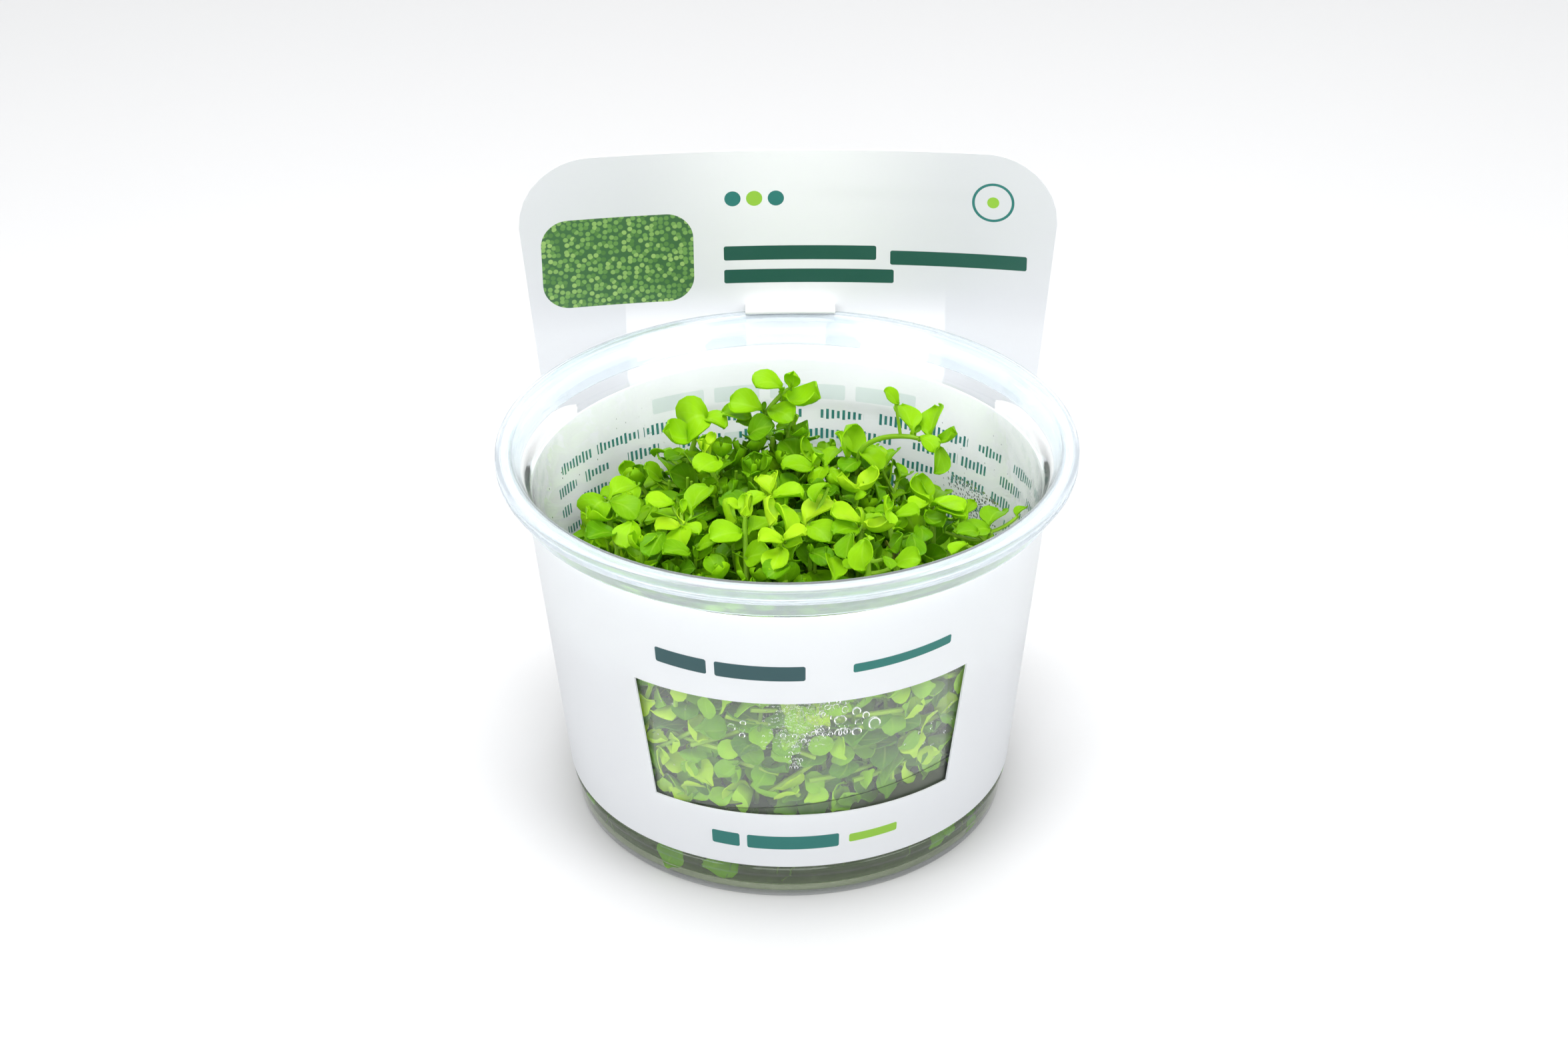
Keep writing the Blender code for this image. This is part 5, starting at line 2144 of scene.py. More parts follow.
# The same shoots' stems from the tip down, each point by its pixel across and down and its depth
SHOOT_STEMS: dict[int, tuple[tuple[Place, ...], ...]] = {
    1: (
        ((1188, 583, 20), (1180, 585, 20), (1172, 592, 19.7), (1160, 605, 19.2), (1150, 618, 18.6),
         (1141, 632, 18), (1134, 655, 17.5), (1129, 690, 16.5), (1127, 725, 15.5)),
        ((1189, 630, 18), (1184, 648, 17.5), (1179, 672, 17), (1173, 705, 16)),
        ((1159, 655, 18), (1158, 692, 17)),
    ),
    2: (((1050, 640, 18), (1044, 655, 17.5), (1036, 680, 17), (1028, 715, 16), (1022, 745, 15)),),
    3: (((1060, 676, 10), (1062, 690, 9.5), (1070, 712, 8.5), (1078, 735, 8), (1086, 765, 7)),),
    4: (
        ((1406, 664, 7.2), (1385, 660, 7.4), (1368, 655, 8.2), (1345, 654, 9), (1325, 656, 10),
         (1308, 662, 11), (1294, 671, 11.8), (1288, 682, 12), (1286, 710, 12), (1284, 740, 11.5)),
    ),
    5: (((1240, 703, 10), (1247, 715, 9), (1256, 732, 7.5), (1266, 757, 5), (1272, 790, 4)),),
    6: (((907, 757, -3.5), (912, 772, -4.5), (917, 792, -6), (926, 822, -9)),),
    7: (((1024, 790, -8), (1024, 815, -9), (1022, 850, -11)),),
    8: (((1157, 749, -1.5), (1156, 772, -2), (1155, 800, -3)),),
    9: (((1118, 776, -12), (1117, 792, -12.5), (1118, 812, -13.5), (1119, 838, -15), (1120, 870, -17)),),
    10: (((1177, 816, -19), (1178, 840, -20), (1178, 880, -21)),),
    11: (((1210, 791, -9.5), (1212, 815, -10), (1212, 850, -12)),),
    12: (((1292, 789, -10.5), (1290, 815, -11.5), (1288, 850, -13)),),
    13: (((1287, 738, 1), (1285, 748, 1), (1281, 765, 1), (1279, 800, 1)),),
    14: (((1396, 758, 0), (1398, 775, -1), (1400, 800, -3)),),
    15: (((1340, 738, 11.5), (1340, 760, 10.5), (1338, 790, 9)),),
    16: (((1486, 798, -4), (1484, 820, -6)),),
    17: (((1300, 808, -22.5), (1302, 840, -23), (1303, 880, -24)),),
    18: (((1331, 775, -12), (1336, 800, -13), (1345, 830, -15)),),
}

# Distance back from the tip, size and rise of each leaf pair of a side stem, a ring shoot and a low stem
SIDE_PAIRS = (
    (0.3, 0.42, 62.0), (1.0, 0.7, 44.0), (3.8, 0.98, 26.0),
    (7.0, 1.0, 16.0), (10.4, 1.0, 8.0), (14.0, 1.0, 4.0),
)
RING_PAIRS = ((0.3, 0.4, 66.0), (0.9, 0.66, 46.0), (4.2, 1.0, 24.0))
LOW_PAIRS = ((0.6, 0.5, 56.0), (3.0, 0.84, 30.0), (6.8, 1.0, 16.0), (11.0, 1.05, 8.0), (15.4, 1.0, 2.0))


@dataclass(frozen=True)
class GrowthDome:
    """Height of the low growth: a dome that is hollowed out at the back and right."""

    highest: float = 49.0
    centre: tuple[float, float] = (-4.0, -4.0)
    drop: float = 0.0052
    hollow: float = 9.0
    hollow_centre: tuple[float, float] = (17.0, 30.0)
    hollow_spread: float = 15.0

    def top(self, x: float | np.ndarray, y: float | np.ndarray) -> float | np.ndarray:
        """Height of the dome at a place.

        Args:
            x: the place to the cup's right.
            y: the place back from its middle.

        Returns:
            The height.
        """
        off_x, off_y = x - self.centre[0], y - self.centre[1]
        far_x, far_y = x - self.hollow_centre[0], y - self.hollow_centre[1]
        hollow = np.exp(-(far_x * far_x + far_y * far_y) / (2.0 * self.hollow_spread**2))
        return self.highest - self.drop * (off_x * off_x + off_y * off_y) - self.hollow * hollow


class RoomMap:
    """Remembers in small cells where leaves already are, to tell how crowded a new one would be."""

    def __init__(self, cell: float = 0.8) -> None:
        """Start with every cell free."""
        self.cell = cell
        self.origin = np.array((-52.0, -52.0, 0.0))
        self.cells = np.zeros((int(104 / cell) + 2, int(104 / cell) + 2, int(80 / cell) + 2), bool)

    def numbers(self, points: np.ndarray) -> tuple[np.ndarray, ...]:
        """The cells that points are in."""
        found = ((points - self.origin) / self.cell).astype(int)
        return tuple(np.clip(found[:, k], 0, self.cells.shape[k] - 1) for k in range(3))

    def crowding(self, points: np.ndarray) -> float:
        """The share of points whose cell is taken."""
        return float(self.cells[self.numbers(points)].mean())

    def fill(self, points: np.ndarray) -> None:
        """Take the cells that points are in."""
        self.cells[self.numbers(points)] = True


class SightMap:
    """Keeps how near the camera the leaves read off the photograph are, so that none is hidden later."""

    def __init__(self, view: PhotoView, cell_px: float = 6.0) -> None:
        """Start with nothing in sight, in cells of the view's picture."""
        self.view = view
        self.cell_px = cell_px
        self.nearest = np.full((int(view.width / cell_px) + 1, int(view.height / cell_px) + 1), np.inf)

    def seen(self, points: np.ndarray) -> tuple[tuple[np.ndarray, np.ndarray], np.ndarray]:
        """The cells that the camera sees points in, and their distances in millimetres.

        Args:
            points: the points, one a row.

        Returns:
            The cells across and down, and the distances.
        """
        ahead, right, up = self.view.axes()
        off = points - np.array(self.view.place)
        depth = off @ ahead
        across = self.view.width / 2 + self.view.focal * (off @ right) / depth
        down = self.view.height / 2 - self.view.focal * (off @ up) / depth
        return ((across / self.cell_px).astype(int), (down / self.cell_px).astype(int)), depth

    def fill(self, points: np.ndarray) -> None:
        """Mark points as in sight."""
        cells, depth = self.seen(points)
        np.minimum.at(self.nearest, cells, depth)

    def hiding(self, points: np.ndarray) -> float:
        """The share of points that stand before a leaf read off the photograph.

        Args:
            points: the points, one a row.

        Returns:
            The share.
        """
        cells, depth = self.seen(points)
        known = self.nearest[cells]
        return float((np.isfinite(known) & (depth < known)).mean())


@dataclass
class Plant:
    """The whole plant: shoots, low growth with its leaves and stems, and what is caught in the gel."""

    cone: ConeWall
    gel: GelPad
    dome: GrowthDome
    greens: Greens
    stock: LeafStock
    leaf_length: float = 6.1
    leaf_half: float = 2.55
    stem_count: int = 168
    stem_spread: float = 40.2
    spiral_turn: float = 2.39996
    filler_tries: int = 6500
    window_tries: int = 1000
    window_stems: int = 26
    side_stems: int = 7
    ring_shoots: int = 12
    gel_leaves: int = 34
    gel_roots: int = 46
    dead_share: float = 0.012
    dead_tone: float = -0.55
    seen_depth: float = 9.0
    seen_left_deg: float = -52.0
    seen_right_deg: float = 58.0
    room: RoomMap = field(default_factory=RoomMap)
    view: PhotoView = PhotoView()

    def __post_init__(self) -> None:
        """Start the plant's own dice, its map of what is in sight and its finishes."""
        self.dice = np.random.default_rng(SEED)
        self.sight = SightMap(self.view)
        self.finishes = (self.greens.leaf(), self.greens.stem())

    def seat(
        self, foot: np.ndarray, outward: np.ndarray, direction: np.ndarray, size: float, lift_deg: float
    ) -> LeafSeat:
        """A leaf on a stem.

        Args:
            foot: its foot on the stem's middle line.
            outward: the side of the stem that it grows from.
            direction: the stem's direction.
            size: its size, as a share of a full leaf's.
            lift_deg: how far it rises from square to the stem.

        Returns:
            The leaf's seat.
        """
        lift = math.radians(lift_deg)
        ahead = math.cos(lift) * outward + math.sin(lift) * direction
        above = math.cos(lift) * direction - math.sin(lift) * outward
        return LeafSeat(foot, ahead, above, self.leaf_length * size, self.leaf_half * size)

    def add_tube(
        self, heap: Heap, shape: Shape, path: np.ndarray, thick: float, thin: float, tone: float
    ) -> None:
        """Add a stem and take its room.

        Args:
            heap: the heap it goes to.
            shape: the straight stem.
            path: points up it.
            thick: its radius at the foot.
            thin: its radius at the tip.
            tone: its tone.
        """
        radii = thick + (thin - thick) * np.linspace(0.0, 1.0, len(path)) ** 3
        heap.add(shape, bent_tube(shape, path, radii), tone, 1)
        self.room.fill(path)

    def grow_shoots(self) -> None:
        """Model each shoot that stands clear, in place of its solid."""
        heaps = {number: Heap() for number in SHOOT_LEAVES}
        for number, rows in SHOOT_LEAVES.items():
            heap = heaps[number]
            stems = [eased(self.view.path(line[::-1])) for line in SHOOT_STEMS[number]]
            for stem in stems:
                down = stem[0] - np.array((0.3, 0.6, 8.0))
                self.add_tube(heap, self.stock.stem, np.concatenate([[down], stem]), 0.5, 0.38, 0.5)
            for leaf in (SeenLeaf(*row) for row in rows):
                self.add_seen_leaf(heap, leaf.seat(self.view), LeafKind(leaf.kind), leaf.tone, stems)
        for number, heap in heaps.items():
            for stem in SHOOT_STEMS[number]:
                self.grow_side_stems(heap, number, self.view.path(stem[::-1]))
            self.set_shoot(heap, number)
        for number in range(len(SHOOT_LEAVES) + 1, len(SHOOT_LEAVES) + self.ring_shoots + 1):
            self.grow_ring_shoot(number)

    def grow_side_stems(self, heap: Heap, number: int, stem: np.ndarray) -> None:
        """Side stems low on a shoot, with leaves where they stand behind those read off the photograph.

        Args:
            heap: the shoot's heap.
            number: the shoot's number.
            stem: points up the stem that they branch from.
        """
        for branch in range(self.side_stems):
            turn = 360.0 / self.side_stems * branch + 37.0 * number + self.dice.uniform(-25, 25)
            reach = self.dice.uniform(2.0, 8.0)
            angle = math.radians(turn)
            tip = stem[0] + reach * np.array((math.cos(angle), math.sin(angle), 0.0))
            highest = 60.5 - 0.012 * (tip[0] + 3.0) ** 2 - 0.004 * (tip[1] - 12.0) ** 2
            tip[2] = highest - self.dice.uniform(0.0, 4.5)
            if tip[2] < self.dome.top(tip[0], tip[1]) + 1.0:
                continue
            foot = stem[0] - np.array((0.0, 0.0, 5.0))
            path = bow(foot, np.array((tip[0], tip[1], 0.5 * (foot[2] + tip[2]))), tip, 17)
            added = 0
            length = float(np.linalg.norm(tip - foot))
            for pair, (back, size, lift) in enumerate(SIDE_PAIRS):
                if back > length - 1.0:
                    break
                place, direction = along(path, back)
                for opposite in (0.0, 180.0):
                    side = side_of(direction, turn + 90.0 * pair + opposite)
                    seat = self.seat(place, side, direction, size * self.dice.uniform(0.85, 1.05), lift)
                    samples = self.cone.press(seat.samples())
                    if self.room.crowding(samples) > 0.18 or self.sight.hiding(seat.samples(9)) > 0.08:
                        continue
                    kind = LeafKind.YOUNG if pair == 0 else self.kind_for(pair)
                    shape = self.stock.fine[kind]
                    tone = 0.60 - 0.10 * pair + 0.12 * float(self.dice.standard_normal())
                    heap.add(shape, self.cone.press(seat.placed(shape), 1.0), tone)
                    self.room.fill(samples)
                    added += 1
            if added:
                self.add_tube(heap, self.stock.thin_stem, path, 0.42, 0.3, 0.4)

    def set_shoot(self, heap: Heap, number: int) -> None:
        """Join a shoot and let it stand for its solid."""
        shoot = heap.piece(f"plant_shoot_{number:02d}", *self.finishes)
        seat_on(shoot, f"shoot_{number:02d}", slot="foliage")

    def add_seen_leaf(
        self, heap: Heap, seat: LeafSeat, kind: LeafKind, tone: float, stems: list[np.ndarray]
    ) -> None:
        """Add a leaf of a shoot, with a leaf stalk if it sits off the stems.

        Args:
            heap: the shoot's heap.
            seat: where the leaf sits.
            kind: its kind.
            tone: its tone.
            stems: points up the shoot's stems.
        """
        shape = self.stock.fine[kind]
        heap.add(shape, self.cone.press(seat.placed(shape), 1.0), tone)
        self.room.fill(seat.samples())
        self.sight.fill(seat.samples(11))
        points = np.concatenate([(stem[:-1] + stem[1:]) / 2 for stem in stems] + stems)
        nearest = points[np.argmin(np.linalg.norm(points - seat.foot, axis=1))]
        if np.linalg.norm(nearest - seat.foot) > 0.4:
            low = nearest - np.array((0.0, 0.0, 0.8))
            stalk = bow(nearest, low + 0.5 * (seat.foot - nearest), seat.foot + 0.5 * seat.ahead, 5)
            self.add_tube(heap, self.stock.thin_stem, stalk, 0.34, 0.26, 0.5 * tone + 0.3)

    def grow_ring_shoot(self, number: int) -> None:
        """A low shoot with two pairs and a bud, where its solid is, turned to where its leaves have room.

        Args:
            number: the shoot's number.
        """
        heap = Heap()
        low, high = (np.array(corner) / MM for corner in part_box(f"shoot_{number:02d}"))
        x, y, _ = (low + high) / 2
        tip = np.array((x, y, high[2] - 1.6))
        foot = np.array((0.96 * x, 0.96 * y, float(self.dome.top(x, y)) - 6.0))
        path = bow(foot, np.array((x, y, 0.6 * tip[2] + 0.4 * foot[2])), tip, 17)
        self.add_tube(heap, self.stock.stem, path, 0.47, 0.32, 0.5)
        options = []
        for attempt in range(6):
            turn = 37.0 * (number - 1) + 15.0 * attempt
            seats = []
            for pair, (back, size, lift) in enumerate(RING_PAIRS):
                place, direction = along(path, back)
                for opposite in (0.0, 180.0):
                    side = side_of(direction, turn + 90.0 * pair + opposite)
                    seat = self.seat(place, side, direction, size, lift)
                    seat.pair = pair
                    seats.append(seat)
            options.append((sum(self.room.crowding(seat.samples()) for seat in seats), attempt, seats))
        for seat in min(options, key=lambda option: option[:2])[2]:
            shape = self.stock.fine[LeafKind.YOUNG if seat.pair == 0 else self.kind_for(seat.pair)]
            heap.add(shape, self.cone.press(seat.placed(shape), 1.0), 0.86 - 0.12 * seat.pair)
            self.room.fill(seat.samples())
        self.set_shoot(heap, number)

    def kind_for(self, pair: int) -> LeafKind:
        """A kind of leaf for a pair, counted from the tip."""
        kinds = (LeafKind.CUPPED, LeafKind.ROUND, LeafKind.ROUND, LeafKind.DROOPING, LeafKind.FLAT)
        return kinds[self.dice.integers(2 if pair < 2 else 5)]

    def in_sight(self, points: np.ndarray) -> bool:
        """True for a leaf that is near the dome's surface, or near the wall behind the window.

        Args:
            points: points over the leaf, one a row.

        Returns:
            Whether it would be seen.
        """
        x, y, z = points.mean(axis=0)
        if z > self.dome.top(x, y) - self.seen_depth:
            return True
        angle = math.degrees(math.atan2(x, -y))
        near_wall = math.hypot(x, y) > self.cone.inner(z) - self.seen_depth
        return self.seen_left_deg < angle < self.seen_right_deg and near_wall

    def grow_carpet(self) -> None:
        """The low growth: stems from the gel to the dome, their leaves, and leaves between them."""
        leaves = [Heap(), Heap()]
        stems = Heap()
        for index in range(self.stem_count):
            self.grow_low_stem(index, leaves, stems)
        self.line_window(leaves[1], stems)
        self.fill_dome(leaves)
        for name, heap in zip(("carpet_leaves_back", "carpet_leaves_front"), leaves):
            seat_on(heap.piece(name, *self.finishes), "carpet_growth", slot="growth")
        seat_on(stems.piece("carpet_stems", *self.finishes), "carpet_growth", slot="growth")

    def grow_low_stem(self, index: int, leaves: list[Heap], stems: Heap) -> None:
        """One stem of the low growth with its leaf pairs.

        Args:
            index: the stem's number, which gives its place on a spiral.
            leaves: the heaps for leaves at the back and at the front.
            stems: the heap for stems.
        """
        radius = self.stem_spread * math.sqrt((index + 0.5) / self.stem_count)
        angle = index * self.spiral_turn
        x = radius * math.cos(angle) + self.dice.uniform(-1.3, 1.3)
        y = radius * math.sin(angle) + self.dice.uniform(-1.3, 1.3)
        top = float(self.dome.top(x, y)) + self.dice.uniform(0.2, 4.2)
        lean = self.dice.uniform(-2.6, 2.6, 2)
        base = self.gel.top(x) - 3.0
        foot = np.array((x * 0.93 - lean[0], y * 0.93 - lean[1], base))
        bend = np.array((x - 0.4 * lean[0], y - 0.4 * lean[1], base + 0.6 * (top - base)))
        path = bow(foot, bend, np.array((x + lean[0], y + lean[1], top)), 17)
        path = self.cone.press(path, 1.5, 0.9)
        self.add_tube(stems, self.stock.thin_stem, path, 0.44, 0.3, self.dice.uniform(-0.1, 0.5))
        turn = self.dice.uniform(0.0, 180.0)
        for pair, (back, size, lift) in enumerate(LOW_PAIRS):
            place, direction = along(path, back)
            for opposite in (0.0, 180.0):
                outward = side_of(direction, turn + 90.0 * pair + opposite + self.dice.uniform(-12, 12))
                for shrink in (1.0, 0.86, 0.72):
                    rise = lift + self.dice.uniform(-12, 12)
                    seat = self.seat(place, outward, direction, size * shrink, rise)
                    seat.pair = pair
                    if self.try_leaf(leaves, seat, 0.10):
                        break

    def tone_with_painted_shade(self, points: np.ndarray) -> float:
        """A tone that darkens with depth below the dome's top, as painted shade, and varies from leaf to
        leaf.

        Args:
            points: points over the leaf, one a row.

        Returns:
            The tone.
        """
        x, y, z = points.mean(axis=0)
        # painted shade: the deeper a leaf lies below the dome's top, the darker its tone
        depth = min(max((float(self.dome.top(x, y)) + 3.5 - z) / 11.0, 0.0), 1.0)
        return 0.58 - 0.42 * depth + 0.11 * float(self.dice.standard_normal())

    def try_leaf(self, leaves: list[Heap], seat: LeafSeat, most: float) -> bool:
        """Add a leaf of the low growth if it would be seen and has room.

        Args:
            leaves: the heaps for leaves at the back and at the front.
            seat: where the leaf sits.
            most: the most of it that may be crowded.

        Returns:
            True if the leaf was added or need not be.
        """
        samples = self.cone.press(seat.samples())
        if not self.in_sight(samples):
            return True
        if self.room.crowding(samples) > most or self.sight.hiding(samples) > 0.25:
            return False
        shape = self.stock.plain[self.kind_for(seat.pair)]
        points = self.cone.press(seat.placed(shape, self.dice.uniform(0.6, 1.5)))
        if self.dice.random() < self.dead_share:
            tone = self.dead_tone
        else:
            tone = self.tone_with_painted_shade(samples) + (0.14 if seat.pair < 2 else 0.0)
        leaves[0 if seat.foot[1] > 0 else 1].add(shape, points, tone)
        self.room.fill(samples)
        return True

    def fill_dome(self, leaves: list[Heap]) -> None:
        """Leaves between the stems' own, down into the dome, until there is no more room."""
        for _ in range(self.filler_tries):
            radius, angle = 41.0 * math.sqrt(self.dice.random()), self.dice.uniform(0, math.tau)
            x, y = radius * math.cos(angle), radius * math.sin(angle)
            z = float(self.dome.top(x, y)) - self.dice.uniform(-2.5, 8.0)
            tilt = self.dice.normal(0.0, 0.55, 2)
            above = unit(np.array((*tilt, 1.0)))
            seat = self.free_seat(np.array((x, y, z)), above, self.dice.uniform(0.72, 1.08))
            self.try_leaf(leaves, seat, 0.04)

    def free_seat(self, middle: np.ndarray, above: np.ndarray, size: float) -> LeafSeat:
        """A leaf at a place that faces a direction, turned at random.

        Args:
            middle: where the leaf's middle is.
            above: the direction that its upper side faces.
            size: its size.

        Returns:
            The leaf's seat.
        """
        one = unit(np.cross(above, np.array((0.31, 0.87, 0.38))))
        turn = self.dice.uniform(0.0, math.tau)
        ahead = math.cos(turn) * one + math.sin(turn) * np.cross(above, one)
        length = self.leaf_length * size
        return LeafSeat(middle - 0.5 * length * ahead, ahead, above, length, self.leaf_half * size)

    def line_window(self, leaves: Heap, stems: Heap) -> None:
        """Leaves that lie along the wall behind the sleeve's window, and pale stems among them.

        Args:
            leaves: the heap for leaves at the front.
            stems: the heap for stems.
        """
        for _ in range(self.window_stems):
            degrees, z = self.dice.uniform(-40.0, 46.0), self.dice.uniform(20.0, 43.0)
            rise, turn = self.dice.uniform(-4.0, 9.0), self.dice.uniform(-17.0, 17.0)
            line = [
                self.cone.on_wall(degrees + turn * share, z + rise * share, 1.2 + 1.6 * share)
                for share in np.linspace(0, 1, 9)
            ]
            tone = self.dice.uniform(0.6, 0.95)
            self.add_tube(stems, self.stock.thin_stem, np.array(line), 0.45, 0.36, tone)
        kinds = (LeafKind.FLAT, LeafKind.ROUND, LeafKind.CUPPED)
        for number in range(self.window_tries):
            degrees, z = self.dice.uniform(-43.0, 49.0), self.dice.uniform(18.5, 46.0)
            depth = 0.5 + 6.0 * (number / self.window_tries) ** 1.5
            foot = self.cone.on_wall(degrees, z, depth)
            if z < self.gel.top(foot[0]) - 1.0:
                continue
            outward = np.array((foot[0], foot[1], 0.0)) / math.hypot(foot[0], foot[1])
            tilt = self.dice.normal(0.0, 0.7, 3) + np.array((0.0, 0.0, 0.35))
            seat = self.free_seat(foot, unit(outward + tilt), self.dice.uniform(0.66, 1.08))
            samples = self.cone.press(seat.samples(), 0.8)
            if self.room.crowding(samples) > 0.06:
                continue
            shape = self.stock.plain[kinds[self.dice.integers(3)]]
            # painted light and shade: leaves near the wall get bright tones for the dim light behind the
            # window, darker the further in they lie
            tone = 1.0 - 0.2 * depth + 0.26 * float(self.dice.standard_normal())
            leaves.add(shape, self.cone.press(seat.placed(shape), 0.8), min(tone, 1.0))
            self.room.fill(samples)

    def build_core(self) -> None:
        """The matted inside of the growth: a lumpy plug that the leaves and stems stand round, dark with
        painted shade.
        """
        inner = self.cone.inner
        corners = [
            (20.0, 20.2, 0.0),
            (31.0, 20.2, 0.0),
            (inner(22.0) - 7.5, 22.0, 1.0),
            (inner(30.0) - 7.0, 30.0, 0.0),
            (inner(38.0) - 8.0, 38.0, 1.5),
            (30.0, 40.0, 1.0),
            *((radius, 41.0, 0.0) for radius in (24.0, 18.0, 12.0, 6.0)),
        ]
        core = turned("growth_core", rounded(corners, 3), 56)
        for vert in core.data.vertices:
            x, y, z = vert.co / MM
            wave = math.sin(0.9 * x + 0.5 * z) + math.sin(0.8 * y - 0.3 * x + 0.6 * z)
            if z > 33.0:
                z = min(z, float(self.dome.top(x, y)) - 5.5) + 0.5 * wave
            share = 1.0 + 0.02 * wave if z > 21.0 else 1.0
            z = max(z, float(self.gel.top(x)) + 0.4)
            vert.co = Vector((x * share, y * share, z)) * MM
        core.data.materials.append(self.greens.shade_growth())
        seat_on(core, "carpet_growth", slot="growth")

    def set_in_gel(self) -> None:
        """Leaves caught in the gel near the wall, and thin roots that hang down into it."""
        leaves, roots = Heap(), Heap()
        placed = [
            (-33.0, 4.2, 1.05, 70.0),
            (-18.6, 5.4, 1.1, 15.0),
            (45.9, 6.4, 0.8, 100.0),
            (41.5, 4.6, 0.62, 40.0),
        ]
        for _ in range(self.gel_leaves):
            spot = (self.dice.uniform(55.0, 315.0), self.dice.uniform(2.4, 16.0))
            placed.append((*spot, self.dice.uniform(0.5, 1.0), self.dice.uniform(0.0, 180.0)))
        shape = self.stock.plain[LeafKind.FLAT]
        for degrees, z, size, turn in placed:
            foot = self.cone.on_wall(degrees, z, 1.0)
            outward = unit(np.array((foot[0], foot[1], 4.0)))
            side = unit(np.cross(np.array((0.0, 0.0, 1.0)), outward))
            angle = math.radians(turn)
            ahead = math.cos(angle) * side + math.sin(angle) * np.cross(outward, side)
            length = self.leaf_length * size
            seat = LeafSeat(foot - 0.5 * length * ahead, ahead, outward, length, self.leaf_half * size)
            leaves.add(shape, self.cone.press(seat.placed(shape), 0.5, 0.2), 0.5)
        for index in range(self.gel_roots):
            degrees = -60.0 + index * 7.9 + self.dice.uniform(-3, 3)
            z, deep = self.dice.uniform(11.0, 18.0), self.dice.uniform(1.6, 7.0)
            sway = self.dice.uniform(-7.0, 7.0)
            line = []
            for share in np.linspace(0, 1, 9):
                turn = degrees + sway * share * share
                inside = 3.0 - 2.4 * share + 0.5 * math.sin(5 * share + index)
                line.append(self.cone.on_wall(turn, z + (deep - z) * share, inside))
            self.add_tube(roots, self.stock.thin_stem, np.array(line), 0.16, 0.07, -0.1)
        seat_on(leaves.piece("leaves_in_gel", *self.finishes), slot="growth")
        seat_on(roots.piece("roots_in_gel", *self.finishes), slot="growth")


# Condensation


@dataclass(frozen=True)
class DropPatch:
    """A patch of condensed drops: its span along the wall and up it, their number and sizes."""

    left_deg: float
    right_deg: float
    low: float
    high: float
    count: int
    smallest: float
    largest: float

    @property
    def middle_deg(self) -> float:
        """The angle that the drops gather about."""
        return (self.left_deg + self.right_deg) / 2

    @property
    def spread_deg(self) -> float:
        """How far the drops scatter from that angle."""
        return (self.right_deg - self.left_deg) / 4


